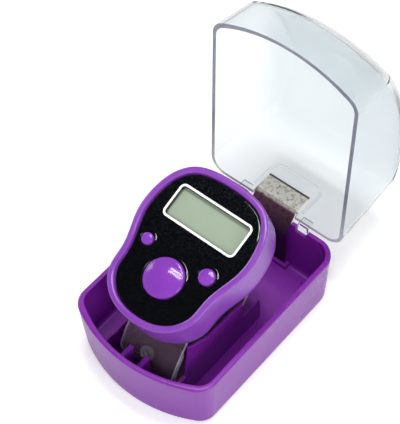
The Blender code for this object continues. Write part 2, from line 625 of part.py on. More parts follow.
def build_panel(black, frame):
    """Front panel: a gloss plate let into the bezel, with the display window and chamfered wells."""
    edge = BEZEL_WIDTH + GAP
    profile = [(edge, -PANEL_THICKNESS), (edge, -0.15 * MM), (edge + 0.15 * MM, 0)]
    panel = add_object("front_panel", *loft(housing_rings(profile)), finish=black, parent=frame)
    window = add_object("window_cut", *rounded_block(-WINDOW_WIDTH / 2, WINDOW_WIDTH / 2, -WINDOW_DEPTH / 2,
                                                     WINDOW_DEPTH / 2, -PANEL_THICKNESS - 1 * MM, 1 * MM,
                                                     WINDOW_RADIUS), parent=frame, cutter=True)
    combine(panel, window, "DIFFERENCE")
    for name, place, radius in button_list():
        bore = radius + BUTTON_CLEARANCE
        well = add_object(f"{name}_well", *turned([(bore, -PANEL_THICKNESS - 1 * MM), (bore, -WELL_CHAMFER),
                                                   (bore + WELL_CHAMFER, 0), (bore + WELL_CHAMFER, 1 * MM)]),
                          parent=frame, place=(place[0], place[1], 0), cutter=True)
        combine(panel, well, "DIFFERENCE")
    return panel


def shell_rounding(shrink, steps):
    """Inset and height along the lower shell's rounded bottom edge, moved inwards by a wall."""
    start = -(SHELL_DEPTH - SHELL_ROUND_HEIGHT)
    low = SHELL_FLOOR if shrink else 0
    points = []
    for angle in np.linspace(0, math.pi / 2, steps):
        points.append((shrink + (SHELL_ROUND_WIDTH - shrink) * (1 - math.cos(angle)),
                       start - (SHELL_ROUND_HEIGHT - low) * math.sin(angle)))
    return points


def build_lower_shell(purple, frame):
    """Lower shell: a rounded dish with a lip, a board ledge, screw posts, battery seat and strap slots."""
    top = -SEAM_DEPTH - GAP
    lip_out = SKIRT_WALL + GAP
    lip_in = lip_out + LIP_WALL
    ledge = BOARD_TOP - BOARD_THICKNESS - GAP
    outer = shell_rounding(0, 6)
    inner = shell_rounding(SHELL_WALL, 5)
    profile = outer[::-1] + [(0, top), (lip_out, top), (lip_out, top + LIP_HEIGHT), (lip_in, top + LIP_HEIGHT),
                             (lip_in, ledge), (lip_in + 0.9 * MM, ledge),
                             (lip_in + 0.9 * MM, ledge - 0.5 * MM)] + inner[1:]
    shell = add_object("lower_shell", *loft(housing_rings(profile)), finish=purple, parent=frame)

    floor = -SHELL_DEPTH + SHELL_FLOOR
    post_top = BOARD_TOP - BOARD_THICKNESS - GAP
    head_low = -SHELL_DEPTH + HEAD_DEPTH
    sink = HEAD_RADIUS + GAP
    for index, place in enumerate(SCREW_PLACES):
        post = screw_boss(f"lower_post_{index}", place, sink + BOSS_WALL, floor - 0.6 * MM, post_top, frame)
        combine(shell, post, "UNION")
        bore = screw_boss(f"lower_bore_{index}", place, SCREW_RADIUS + GAP, floor - 1 * MM, post_top + 1 * MM,
                          frame)
        combine(shell, bore, "DIFFERENCE")
        counterbore = screw_boss(f"lower_sink_{index}", place, sink, -SHELL_DEPTH - 1 * MM,
                                 head_low + HEAD_HEIGHT + GAP, frame)
        combine(shell, counterbore, "DIFFERENCE")

    cell_seat = screw_boss("cell_ring", (0, CELL_V), CELL_RADIUS + GAP + CELL_WALL, floor - 0.5 * MM,
                           floor + CELL_THICKNESS * 0.7, frame)
    combine(shell, cell_seat, "UNION")
    door_boss = screw_boss("door_boss", (0, DOOR_SCREW_V), SCREW_RADIUS + GAP + BOSS_WALL, floor - 0.5 * MM,
                           floor + 2.6 * MM, frame)
    combine(shell, door_boss, "UNION")
    cell_bore = screw_boss("cell_bore", (0, CELL_V), CELL_RADIUS + GAP, -SHELL_DEPTH - 1 * MM,
                           floor + CELL_THICKNESS, frame)
    combine(shell, cell_bore, "DIFFERENCE")
    door_bore = screw_boss("door_bore", (0, DOOR_SCREW_V), SCREW_RADIUS + GAP, -SHELL_DEPTH - 1 * MM,
                           floor + 2.2 * MM, frame)
    combine(shell, door_bore, "DIFFERENCE")
    recess = add_object("door_recess", *rounded_block(-DOOR_WIDTH / 2 - GAP, DOOR_WIDTH / 2 + GAP,
                                                      DOOR_FRONT - GAP, DOOR_REAR + GAP, -SHELL_DEPTH - 1 * MM,
                                                      -SHELL_DEPTH + DOOR_THICKNESS + GAP,
                                                      DOOR_RADIUS + GAP), parent=frame, cutter=True)
    combine(shell, recess, "DIFFERENCE")
    clip_gap = add_object("clip_gap", *block(CELL_RADIUS - 0.5 * MM, CELL_RADIUS + CELL_WALL + 1 * MM,
                                             CELL_V - 1.6 * MM, CELL_V + 1.6 * MM,
                                             floor + 0.5 * MM, floor + CELL_THICKNESS), parent=frame,
                          cutter=True)
    combine(shell, clip_gap, "DIFFERENCE")
    half = STRAP_TAB_WIDTH / 2 + GAP
    for name, v in (("front", STRAP_FRONT_SLOT), ("rear", STRAP_REAR_SLOT)):
        reach = STRAP_THICKNESS / 2 + GAP
        slot = add_object(f"strap_slot_{name}", *block(-half, half, v - reach, v + reach,
                                                       -SHELL_DEPTH - 1 * MM, floor + 0.4 * MM),
                          parent=frame, cutter=True)
        combine(shell, slot, "DIFFERENCE")
    return shell


def button_solid(name, place, radius, dome, finish, frame):
    """A button: domed cap through its well, a flange that the deck retains and a short stem."""
    deck_low = -PANEL_THICKNESS - GAP - DECK_THICKNESS
    flange_top = deck_low - GAP
    flange_low = flange_top - 0.6 * MM
    stem_low = BOARD_TOP + GAP + SWITCH_HEIGHT + GAP + BUTTON_TRAVEL
    profile = [(PLUNGER_RADIUS, stem_low), (PLUNGER_RADIUS, flange_low), (radius + BUTTON_FLANGE, flange_low),
               (radius + BUTTON_FLANGE, flange_top), (radius, flange_top), (radius, 0.2 * MM)]
    edge = 0.35 * dome
    for step in (0.35, 0.7, 1.0):
        angle = step * math.pi / 2
        profile.append((radius - edge * (1 - math.cos(angle)), 0.2 * MM + edge * math.sin(angle)))
    inner = radius - edge
    crown = dome - 0.2 * MM - edge
    for share in (0.8, 0.55, 0.3, 0.1):
        profile.append((inner * share, 0.2 * MM + edge + crown * (1 - share ** 2)))
    steps = ROUND_STEPS if radius > 4 * MM else 22
    return add_object(name, *turned(profile, steps), finish=finish, parent=frame,
                      place=(place[0], place[1], 0))


def build_display(glass, acrylic, rubber, led_white, frame):
    """Display glass in the deck's opening, its light guide and lamp, and the elastomer connector."""
    top = -PANEL_THICKNESS - GAP
    low = top - LCD_THICKNESS
    add_object("lcd_glass", *block(-LCD_WIDTH / 2, LCD_WIDTH / 2, -LCD_DEPTH / 2, LCD_DEPTH / 2, low, top),
               finish=glass, parent=frame)
    board_face = BOARD_TOP + GAP
    zebra_front = -LCD_DEPTH / 2 + 0.2 * MM
    add_object("zebra_strip", *block(-ZEBRA_WIDTH / 2, ZEBRA_WIDTH / 2, zebra_front,
                                     zebra_front + ZEBRA_DEPTH, board_face, low - GAP),
               finish=rubber, parent=frame)
    guide_front = zebra_front + ZEBRA_DEPTH + GAP
    guide_top = low - GAP
    guide_rear = LCD_DEPTH / 2 - 0.4 * MM
    guide = add_object("light_guide", *block(-GUIDE_WIDTH / 2, GUIDE_WIDTH / 2, guide_front, guide_rear,
                                             guide_top - GUIDE_THICKNESS, guide_top),
                       finish=acrylic, parent=frame)
    for side in (-1, 1):
        near, far = sorted((side * GUIDE_WIDTH / 2 - side * 0.01 * MM, side * (GUIDE_WIDTH / 2 - 1.2 * MM)))
        leg = add_object(f"guide_leg_{side}", *block(near, far, guide_front + 0.5 * MM, guide_rear - 0.5 * MM,
                                                     board_face, guide_top - GUIDE_THICKNESS * 0.5),
                         parent=frame, cutter=True)
        combine(guide, leg, "UNION")
    width, depth, height = LED_SIZE
    lamp_u = GUIDE_WIDTH / 2 + GAP
    add_object("backlight_led", *block(lamp_u, lamp_u + width, -depth / 2, depth / 2, board_face,
                                       board_face + height), finish=led_white, parent=frame)


def build_board(board_green, chip_black, metal, frame):
    """Circuit board with its chip and the three switches under the buttons."""
    low = BOARD_TOP - BOARD_THICKNESS
    edge = SKIRT_WALL + GAP + LIP_WALL + GAP
    board = add_object("circuit_board", *loft(housing_rings([(edge, low), (edge, BOARD_TOP)])),
                       finish=board_green, parent=frame)
    for index, place in enumerate(SCREW_PLACES):
        hole = screw_boss(f"board_hole_{index}", place, SCREW_RADIUS + GAP, low - 1 * MM,
                          BOARD_TOP + 1 * MM, frame)
        combine(board, hole, "DIFFERENCE")
    seat = BOARD_TOP + GAP
    add_object("chip_blob", *turned([(CHIP_RADIUS, seat), (CHIP_RADIUS * 0.93, seat + 0.45 * MM),
                                     (CHIP_RADIUS * 0.7, seat + 0.8 * MM), (CHIP_RADIUS * 0.3, seat + 1.0 * MM)],
                                    20), finish=chip_black, parent=frame,
               place=(CHIP_PLACE[0], CHIP_PLACE[1], 0))
    for name, place, _ in button_list():
        profile = [(SWITCH_RADIUS, seat), (SWITCH_RADIUS, seat + SWITCH_HEIGHT * 0.6),
                   (PLUNGER_RADIUS, seat + SWITCH_HEIGHT * 0.65), (PLUNGER_RADIUS * 0.8, seat + SWITCH_HEIGHT)]
        add_object(f"{name}_switch", *turned(profile, 18), finish=metal, parent=frame,
                   place=(place[0], place[1], 0))


def build_battery(steel, brass, purple, frame):
    """Button cell behind a screwed door, with a leaf on its face and a clip at its side."""
    door_top = -SHELL_DEPTH + DOOR_THICKNESS
    cell_low = door_top + GAP
    cell_top = cell_low + CELL_THICKNESS
    add_object("battery_cell", *turned([(CELL_RADIUS - 0.3 * MM, cell_low), (CELL_RADIUS, cell_low + 0.3 * MM),
                                        (CELL_RADIUS, cell_top - 0.5 * MM), (CELL_RADIUS - 0.7 * MM, cell_top)]),
               finish=steel, parent=frame, place=(0, CELL_V, 0))
    board_low = BOARD_TOP - BOARD_THICKNESS - GAP
    leaf_top = board_low - 0.1 * MM
    leaf = rounded_path([(CELL_V - LEAF_REACH, leaf_top), (CELL_V - LEAF_BEND, leaf_top),
                         (CELL_V, cell_top + GAP + 0.15 * MM), (CELL_V + LEAF_BEND, cell_top + 1.0 * MM)],
                        0.4 * MM, 3)
    add_object("battery_contact_negative", *bent_sheet(leaf, 3.0 * MM, 0.2 * MM), finish=brass, parent=frame)
    clip_u = CELL_RADIUS + GAP
    add_object("battery_contact_positive", *block(clip_u, clip_u + 0.25 * MM, CELL_V - 1.2 * MM,
                                                  CELL_V + 1.2 * MM, cell_low + 1.4 * MM, board_low),
               finish=brass, parent=frame)
    door = add_object("battery_door", *rounded_block(-DOOR_WIDTH / 2, DOOR_WIDTH / 2, DOOR_FRONT, DOOR_REAR,
                                                     -SHELL_DEPTH, door_top, DOOR_RADIUS),
                      finish=purple, parent=frame)
    seat = screw_boss("door_screw_seat", (0, DOOR_SCREW_V), HEAD_RADIUS + GAP, -SHELL_DEPTH - 1 * MM,
                      -SHELL_DEPTH + 0.6 * MM, frame)
    combine(door, seat, "DIFFERENCE")
    bore = screw_boss("door_screw_bore", (0, DOOR_SCREW_V), SCREW_RADIUS + GAP, -SHELL_DEPTH - 1 * MM,
                      door_top + 1 * MM, frame)
    combine(door, bore, "DIFFERENCE")


def screw_solid(name, place, head_low, head_height, tip, finish, frame):
    """A small screw, head down: crowned head, shank and blunt tip."""
    profile = [(HEAD_RADIUS * 0.8, head_low), (HEAD_RADIUS, head_low + head_height * 0.3),
               (HEAD_RADIUS, head_low + head_height), (SCREW_RADIUS, head_low + head_height),
               (SCREW_RADIUS, tip - 0.4 * MM), (SCREW_RADIUS * 0.4, tip)]
    return add_object(name, *turned(profile, 14), finish=finish, parent=frame, place=(place[0], place[1], 0))


def build_screws(steel, frame):
    """Four case screws up into the upper shell's bosses, and the battery door's screw."""
    tip = -PANEL_THICKNESS - 2 * GAP - DECK_THICKNESS
    for index, place in enumerate(SCREW_PLACES, start=1):
        screw_solid(f"case_screw_{index}", place, -SHELL_DEPTH + HEAD_DEPTH, HEAD_HEIGHT, tip, steel, frame)
    floor = -SHELL_DEPTH + SHELL_FLOOR
    screw_solid("battery_door_screw", (0, DOOR_SCREW_V), -SHELL_DEPTH - 0.15 * MM, 0.45 * MM,
                floor + 1.8 * MM, steel, frame)


def panel_to_world(v, n):
    """World (y, z) of a point given along the panel and above it."""
    return (PANEL_Y + v * math.cos(PANEL_TILT) - n * math.sin(PANEL_TILT),
            PANEL_Z + v * math.sin(PANEL_TILT) + n * math.cos(PANEL_TILT))


def smooth_path(points, spacing):
    """Points at an even spacing, or nearly, on a smooth open curve through the given points."""
    pts = np.array(points)
    ends = np.vstack([2 * pts[0] - pts[1], pts, 2 * pts[-1] - pts[-2]])
    fine = []
    for i in range(1, len(ends) - 2):
        a, b, c, d = ends[i - 1:i + 3]
        for t in np.linspace(0, 1, 16, endpoint=False):
            fine.append(0.5 * (2 * b + (c - a) * t + (2 * a - 5 * b + 4 * c - d) * t * t
                               + (3 * b - a - 3 * c + d) * t ** 3))
    fine = np.array(fine + [pts[-1]])
    run = np.concatenate([[0], np.cumsum(np.linalg.norm(np.diff(fine, axis=0), axis=1))])
    at = np.linspace(0, run[-1], round(run[-1] / spacing) + 1)
    return np.stack([np.interp(at, run, fine[:, k]) for k in (0, 1)], axis=1)


def strap_loop():
    """Middle line of the loop from the front slot round below to the rear slot."""
    bottom = TRAY_FLOOR + GAP + STRAP_THICKNESS / 2
    floor = -SHELL_DEPTH + SHELL_FLOOR
    levels = (floor + GAP + STRAP_BEAD_HEIGHT, floor, -SHELL_DEPTH, -SHELL_DEPTH - 0.9 * MM)
    front = [panel_to_world(STRAP_FRONT_SLOT, n) for n in levels]
    rear = [panel_to_world(STRAP_REAR_SLOT, n) for n in levels[::-1]]
    hanging = [(y, bottom + rise) for y, rise in STRAP_COURSE]
    return smooth_path(front + hanging + rear, STRAP_SPACING)


def band(path, widths, thickness):
    """A flat band with chamfered edges along a YZ path, its width given at each point."""
    path = np.array(path)
    along = np.gradient(path, axis=0)
    along /= np.linalg.norm(along, axis=1)[:, None]
    normal = np.stack([-along[:, 1], along[:, 0]], axis=1)
    half, edge = thickness / 2, STRAP_EDGE
    rings = []
    for point, side, width in zip(path, normal, widths):
        w = width / 2
        section = [(w - edge, -half), (w, -half + edge), (w, half - edge), (w - edge, half),
                   (-w + edge, half), (-w, half - edge), (-w, -half + edge), (-w + edge, -half)]
        rings.append([(x, *(point + side * t)) for x, t in section])
    return loft(rings)


def bead_block(name, v, frame):
    """The bead at a strap half's end that keeps it inside the lower shell."""
    floor = -SHELL_DEPTH + SHELL_FLOOR
    half = STRAP_TAB_WIDTH / 2 - 0.3 * MM
    reach = STRAP_THICKNESS / 2 + STRAP_BEAD
    return add_object(name, *block(-half, half, v - reach, v + reach, floor + GAP,
                                   floor + GAP + STRAP_BEAD_HEIGHT + 0.2 * MM), parent=frame, cutter=True)


def strap_widths(run, exit_run, end_run):
    """Width along a half: a tab in the slot, then the full band, rounded off at its free tail."""
    wide = exit_run + STRAP_EDGE + GAP
    marks = [(wide, STRAP_TAB_WIDTH), (wide + STRAP_SHOULDER, STRAP_WIDTH), (end_run - STRAP_NOSE, STRAP_WIDTH),
             (end_run - STRAP_NOSE / 3, STRAP_NOSE_WIDTH), (end_run, STRAP_END_WIDTH)]
    return np.interp(run, [m[0] for m in marks], [m[1] for m in marks])


def build_strap(clear, frame):
    """Finger strap: the front half outside, with a hole, over the rear half, whose stud fills it."""
    loop = strap_loop()
    along = np.gradient(loop, axis=0)
    along /= np.linalg.norm(along, axis=1)[:, None]
    inward = np.stack([-along[:, 1], along[:, 0]], axis=1)
    run = np.concatenate([[0], np.cumsum(np.linalg.norm(np.diff(loop, axis=0), axis=1))])
    lowest = int(np.argmin(loop[:, 1]))
    stud_run = np.interp(-STUD_Z, -loop[:lowest, 1], run[:lowest])
    buried = SHELL_FLOOR + GAP + STRAP_BEAD_HEIGHT

    end = stud_run + STRAP_TAIL
    outer = run <= end
    widths = strap_widths(run[outer], buried, end)
    front_half = add_object("strap_front", *band(loop[outer], widths, STRAP_THICKNESS), finish=clear)
    combine(front_half, bead_block("bead_front", STRAP_FRONT_SLOT, frame), "UNION")

    start = stud_run - STRAP_TAIL
    inside = run >= start
    lift = np.clip((end + STRAP_JOGGLE + STRAP_NOSE - run[inside]) / STRAP_JOGGLE, 0, 1)
    lift = (lift * lift * (3 - 2 * lift) * (STRAP_THICKNESS + GAP))[:, None]
    rear_run = run[-1] - run[inside]
    rear_widths = strap_widths(rear_run, buried, run[-1] - start)
    rear_half = add_object("strap_rear", *band(loop[inside] + inward[inside] * lift, rear_widths,
                                               STRAP_THICKNESS), finish=clear)
    combine(rear_half, bead_block("bead_rear", STRAP_REAR_SLOT, frame), "UNION")

    centre = [np.interp(stud_run, run, loop[:, k]) for k in (0, 1)]
    facing = [np.interp(stud_run, run, inward[:, k]) for k in (0, 1)]
    tilt = math.atan2(-facing[0], facing[1])
    half = STRAP_THICKNESS / 2
    hole = add_object("stud_hole", *turned([(STUD_NECK + GAP, -half - 1 * MM), (STUD_NECK + GAP, half + 1 * MM)],
                                           18), place=(0, *centre), cutter=True)
    hole.rotation_euler = (tilt, 0, 0)
    combine(front_half, hole, "DIFFERENCE")
    cap = -half - GAP
    stud = add_object("strap_stud", *turned([(STUD_NECK, half + GAP + 0.4 * MM), (STUD_NECK, cap),
                                             (STUD_RADIUS, cap), (STUD_RADIUS, cap - STUD_HEIGHT * 0.5),
                                             (STUD_RADIUS * 0.8, cap - STUD_HEIGHT)], 24),
                      place=(0, *centre), cutter=True)
    stud.rotation_euler = (tilt, 0, 0)
    combine(rear_half, stud, "UNION")


def main():
    remove_everything()
    purple = material("purple_moulded_plastic", "7B35A8", 0.28)
    clear = material("clear_polystyrene", "DCE4EC", 0.05, alpha=0.25)
    strap_clear = material("clear_soft_vinyl", "B9AEBB", 0.25, alpha=0.4)
    black = material("black_gloss_acrylic", "0B0D10", 0.12)
    lcd = material("grey_green_display", "A5B1A0", 0.2)
    steel = material("spring_steel", "A79C8C", 0.35, metallic=1.0)
    nickel = material("nickel_plate", "C8C8CA", 0.2, metallic=1.0)
    brass = material("contact_brass", "C4A25A", 0.35, metallic=1.0)
    board_green = material("board_green", "2F6B45", 0.5)
    rubber = material("grey_elastomer", "5A5A5E", 0.8)
    acrylic = material("white_diffusing_acrylic", "E8EAEA", 0.4)
    chip = material("black_epoxy", "15161A", 0.4)

    build_tray(purple)
    hinge = add_empty("lid_hinge", (0, HINGE_Y, HINGE_Z), -LID_OPEN_ANGLE)
    build_lid(clear, hinge)
    build_spring(steel)

    counter = add_empty("counter_frame", (0, PANEL_Y, PANEL_Z), PANEL_TILT)
    build_upper_shell(purple, counter)
    build_panel(black, counter)
    build_lower_shell(purple, counter)
    button_solid("count_button", COUNT_PLACE, COUNT_RADIUS, COUNT_DOME, purple, counter)
    button_solid("reset_button", RESET_PLACE, RESET_RADIUS, RESET_DOME, purple, counter)
    button_solid("light_button", LIGHT_PLACE, LIGHT_RADIUS, LIGHT_DOME, purple, counter)
    build_display(lcd, acrylic, rubber, acrylic, counter)
    build_board(board_green, chip, nickel, counter)
    build_battery(nickel, brass, purple, counter)
    build_screws(nickel, counter)
    build_strap(strap_clear, counter)


main()
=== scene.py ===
import math

import bmesh
import bpy
import numpy as np
from mathutils import Matrix, Vector
from mathutils.geometry import delaunay_2d_cdt


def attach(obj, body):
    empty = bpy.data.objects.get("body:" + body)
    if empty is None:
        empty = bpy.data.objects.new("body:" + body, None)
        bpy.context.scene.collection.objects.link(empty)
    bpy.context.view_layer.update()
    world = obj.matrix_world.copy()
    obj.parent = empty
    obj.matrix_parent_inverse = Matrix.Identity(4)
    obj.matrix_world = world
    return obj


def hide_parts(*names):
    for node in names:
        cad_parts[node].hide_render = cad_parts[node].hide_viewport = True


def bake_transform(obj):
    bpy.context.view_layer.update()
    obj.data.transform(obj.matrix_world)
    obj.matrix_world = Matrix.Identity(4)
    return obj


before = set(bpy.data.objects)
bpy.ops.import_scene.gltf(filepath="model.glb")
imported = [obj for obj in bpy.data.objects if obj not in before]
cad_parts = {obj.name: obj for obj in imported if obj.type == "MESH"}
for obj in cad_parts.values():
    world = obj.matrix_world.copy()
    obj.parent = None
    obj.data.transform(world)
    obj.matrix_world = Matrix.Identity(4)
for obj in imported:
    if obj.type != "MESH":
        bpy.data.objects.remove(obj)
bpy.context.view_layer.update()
mm = 0.001

# Where it stands: a plain white table in a studio with a dark ceiling, lit by a twin strip lamp from
# above, and seen from the front right at about 53 degrees. None of this is part of the counter.


def colour(code):
    """sRGB hex to the linear RGBA that a socket takes: a straight toe, then a power curve."""
    c = np.array([int(code[i:i + 2], 16) for i in (0, 2, 4)]) / 255
    linear = np.where(c <= 0.04045, c / 12.92, ((c + 0.055) / 1.055) ** 2.4)
    return (*[float(v) for v in linear], 1.0)


def add_node(tree, kind, settings=None, **links):
    """One node with its settings. A link names a socket (spaces as _, or i and its number) and gives
    a value or another node's output."""
    node = tree.nodes.new(kind)
    for key, value in (settings or {}).items():
        setattr(node, key, value)
    for key, value in links.items():
        if key[0] == "i" and key[1:].isdigit():
            socket = node.inputs[int(key[1:])]
        else:
            socket = next(s for s in node.inputs if s.name == key.replace("_", " ") and s.enabled)
        if isinstance(value, bpy.types.NodeSocket):
            tree.links.new(value, socket)
        else:
            socket.default_value = value
    return node


def new_material(name):
    """An empty node material and its output node."""
    made = bpy.data.materials.new(name)
    made.use_nodes = True
    made.node_tree.nodes.clear()
    return made, made.node_tree, made.node_tree.nodes.new("ShaderNodeOutputMaterial")


def put_mesh(name, verts, faces, smooth_below=38.0):
    """A mesh object at the origin from points and faces, smooth but for edges sharper than an angle."""
    mesh = bpy.data.meshes.new(name)
    mesh.from_pydata(np.asarray(verts, dtype=float).tolist(), [], [list(map(int, f)) for f in faces])
    mesh.validate()
    mesh.shade_smooth()
    mesh.set_sharp_from_angle(angle=math.radians(smooth_below))
    made = bpy.data.objects.new(name, mesh)
    bpy.context.scene.collection.objects.link(made)
    return made


# White paper: a matt shader that keeps the shadows, lifted to white for the eye, gloss and clear plastic.
paper_lift = 0.30
table_paper, tree, out = new_material("white_paper_table")
rays = add_node(tree, "ShaderNodeLightPath")
seen = add_node(tree, "ShaderNodeMath", {"operation": "MAXIMUM"}, i0=rays.outputs["Is Camera Ray"],
                i1=rays.outputs["Is Glossy Ray"])
seen = add_node(tree, "ShaderNodeMath", {"operation": "MAXIMUM"}, i0=seen.outputs[0],
                i1=rays.outputs["Is Transmission Ray"])
lift = add_node(tree, "ShaderNodeMath", {"operation": "MULTIPLY"}, i0=seen.outputs[0], i1=paper_lift)
matt = add_node(tree, "ShaderNodeBsdfDiffuse", Color=colour("F4F4F4"))
glow = add_node(tree, "ShaderNodeEmission", Strength=lift.outputs[0])
both = add_node(tree, "ShaderNodeAddShader", i0=matt.outputs[0], i1=glow.outputs[0])
tree.links.new(both.outputs[0], out.inputs[0])
table_half = 2.4
corners = np.array([(-1, -1, 0), (1, -1, 0), (1, 1, 0), (-1, 1, 0)]) * table_half
floor = put_mesh("table_top", corners, [(0, 1, 2, 3)])
floor.data.materials.append(table_paper)

# Studio walls: white to the eye, also straight through clear plastic. They light what is matt evenly,
# and what is polished shows them bright near the table and dark towards the ceiling.
world = bpy.data.worlds.new("studio")
bpy.context.scene.world = world
world.use_nodes = True
tree = world.node_tree
tree.nodes.clear()
rays = add_node(tree, "ShaderNodeLightPath")
plain = add_node(tree, "ShaderNodeBackground", Color=(1, 1, 1, 1), Strength=1.0)
soft = add_node(tree, "ShaderNodeBackground", Color=(1, 1, 1, 1), Strength=0.44)
facing = add_node(tree, "ShaderNodeTexCoord").outputs["Generated"]
height = add_node(tree, "ShaderNodeSeparateXYZ", Vector=facing).outputs[2]
ceiling = add_node(tree, "ShaderNodeMapRange", i0=height, i1=0.15, i2=0.5, i3=0.9, i4=0.015)
room = add_node(tree, "ShaderNodeBackground", Color=(1, 1, 1, 1), Strength=ceiling.outputs[0])
shone = add_node(tree, "ShaderNodeMath", {"operation": "GREATER_THAN"}, i0=rays.outputs["Glossy Depth"],
                 i1=0.5)
lit = add_node(tree, "ShaderNodeMixShader", i0=shone.outputs[0], i1=soft.outputs[0], i2=room.outputs[0])
bounces = add_node(tree, "ShaderNodeMath", {"operation": "ADD"}, i0=rays.outputs["Diffuse Depth"],
                   i1=rays.outputs["Glossy Depth"])
straight = add_node(tree, "ShaderNodeMath", {"operation": "LESS_THAN"}, i0=bounces.outputs[0], i1=0.5)
through = add_node(tree, "ShaderNodeMath", {"operation": "MULTIPLY"}, i0=straight.outputs[0],
                   i1=rays.outputs["Is Transmission Ray"])
seen = add_node(tree, "ShaderNodeMath", {"operation": "MAXIMUM"}, i0=rays.outputs["Is Camera Ray"],
                i1=through.outputs[0])
both = add_node(tree, "ShaderNodeMixShader", i0=seen.outputs[0], i1=lit.outputs[0], i2=plain.outputs[0])
add_node(tree, "ShaderNodeOutputWorld", Surface=both.outputs[0])


def stand(name, data, axes, place):
    """A lamp or camera at a place, its own X, Y and Z turned along three axes."""
    made = bpy.data.objects.new(name, data)
    made.matrix_world = Matrix([(*row, at) for row, at in zip(zip(*axes), place)] + [(0, 0, 0, 1)])
    bpy.context.scene.collection.objects.link(made)
    return made


def area_light(name, place, aim, size, watts):
    """A rectangle of light at a place, square to the line to what it lights, its width level with X."""
    lamp = bpy.data.lights.new(name, "AREA")
    lamp.shape, lamp.energy = "RECTANGLE", watts
    lamp.size, lamp.size_y = size
    behind = (Vector(place) - Vector(aim)).normalized()
    level = (Vector((1, 0, 0)) - behind * behind.x).normalized()
    return stand(name, lamp, (level, behind.cross(level), behind), place)


# Two strips side by side overhead, a large fill box to the right, one above the front that is too
# soft to show in gloss, and one to the left that only shows as a gleam on what is polished.
counter_spot, tray_spot = (0, -0.017, 0.038), (0, 0, 0.02)
strip_size, fill_size, gleam_size = (0.30, 0.040), (0.35, 0.25), (0.20, 0.40)
area_light("strip_lamp_front", (-0.010, 0.030, 0.533), counter_spot, strip_size, 0.75)
area_light("strip_lamp_rear", (-0.010, 0.096, 0.525), counter_spot, strip_size, 0.75)
area_light("fill_box_right", (0.56, -0.12, 0.24), tray_spot, fill_size, 1.2)
area_light("fill_box_front", (0.12, -0.36, 0.42), tray_spot, fill_size, 0.9).visible_glossy = False
area_light("gleam_soft_box", (-0.57, 0.07, 0.20), counter_spot, gleam_size, 1.0).visible_diffuse = False

# The camera is where the outlines of tray, rim, lid and panel put it: 362 mm from the counter. The
# frame's longer side, 424 pixels, spans the sensor.
lens_distance, focal_pixels, frame_pixels = 362.2 * mm, 1440.1, 424
lens_azimuth, lens_elevation, lens_roll = math.radians(41.51), math.radians(53.25), math.radians(-2.08)
back = Vector((math.sin(lens_azimuth) * math.cos(lens_elevation),
               -math.cos(lens_azimuth) * math.cos(lens_elevation), math.sin(lens_elevation)))
across = Vector((-back.y, back.x, 0)).normalized()
upward = back.cross(across)
right = across * math.cos(lens_roll) + upward * math.sin(lens_roll)
up = -across * math.sin(lens_roll) + upward * math.cos(lens_roll)
lens = bpy.data.cameras.new("camera")
lens.sensor_width = 36.0
lens.lens = focal_pixels * lens.sensor_width / frame_pixels
seen_spot = Vector((0.0, -2.7 * mm, 49.8 * mm))
bpy.context.scene.camera = stand("camera", lens, (right, up, back), seen_spot + back * lens_distance)
bpy.context.scene.view_settings.view_transform = "Standard"

# Case tray: one injection moulding in purple polypropylene, an open box with a bowed front, a
# slight draft and a rounded rim. Its rear rim is notched for the lid's lugs and for the spring.

# Half width, rear and front of the rim's plan, and how far the front bows out.
tray_half, tray_rear, tray_front, tray_bow = 23.0 * mm, 28.5 * mm, -28.5 * mm, 6.7 * mm
tray_height, tray_wall, tray_floor, tray_draft = 19.0 * mm, 1.5 * mm, 1.5 * mm, 1.0 * mm
rear_round, front_round = 6.5 * mm, 6.0 * mm
foot_round, rim_outer, rim_inner, floor_round = 1.6 * mm, 0.6 * mm, 0.3 * mm, 1.1 * mm
hinge_y, hinge_z = 28.6 * mm, 19.15 * mm


def case_plan(half, rear, front, bow, rear_radius, front_radius, rear_marks, side_count=16, corner=14,
              bow_count=48):
    """Plan of tray or lid, clockwise from the rear: straight rear and sides, round corners, and a
    front that is an arc of radius (half^2 + bow^2) / (2 bow) through the front corners."""
    big = (half ** 2 + bow ** 2) / (2 * bow)
    centre = front - bow + big
    cx = half - front_radius
    cy = centre - math.sqrt((big - front_radius) ** 2 - cx ** 2)
    meet = math.atan2(cy - centre, cx)
    a = np.linspace(math.pi / 2, 0, corner)
    rear_corner = np.column_stack([half - rear_radius + rear_radius * np.cos(a),
                                   rear - rear_radius + rear_radius * np.sin(a)])
    ys = np.linspace(rear - rear_radius, cy, side_count + 2)[1:-1]
    side_run = np.column_stack([np.full(side_count, half), ys])
    a = np.linspace(0, meet, corner)
    front_corner = np.column_stack([cx + front_radius * np.cos(a), cy + front_radius * np.sin(a)])
    a = np.linspace(meet, -math.pi - meet, bow_count + 2)[1:-1]
    arc = np.column_stack([big * np.cos(a), centre + big * np.sin(a)])
    half_run = np.vstack([rear_corner, side_run, front_corner])
    flipped = half_run[::-1] * [-1, 1]
    marks = np.clip(rear_marks, -(half - rear_radius) * 0.999, (half - rear_radius) * 0.999)
    back_run = np.column_stack([marks, np.full(len(marks), rear)])
    return np.vstack([half_run, arc, flipped, back_run])


def skin(rings, cap_first=False, cap_last=False, closed=False):
    """Quads between rings of equal counts, each ring closed on itself; the ends may be capped."""
    rings = np.asarray(rings)
    count, size = rings.shape[:2]
    i = np.arange(size)
    j = (i + 1) % size
    rows = np.arange(count if closed else count - 1)[:, None]
    nxt = (rows + 1) % count
    quads = np.stack([rows * size + i, rows * size + j, nxt * size + j, nxt * size + i], axis=-1)
    faces = quads.reshape(-1, 4).tolist()
    if cap_first:
        faces.append(list(range(size - 1, -1, -1)))
    if cap_last:
        faces.append(list(range((count - 1) * size, count * size)))
    return rings.reshape(-1, 3), faces


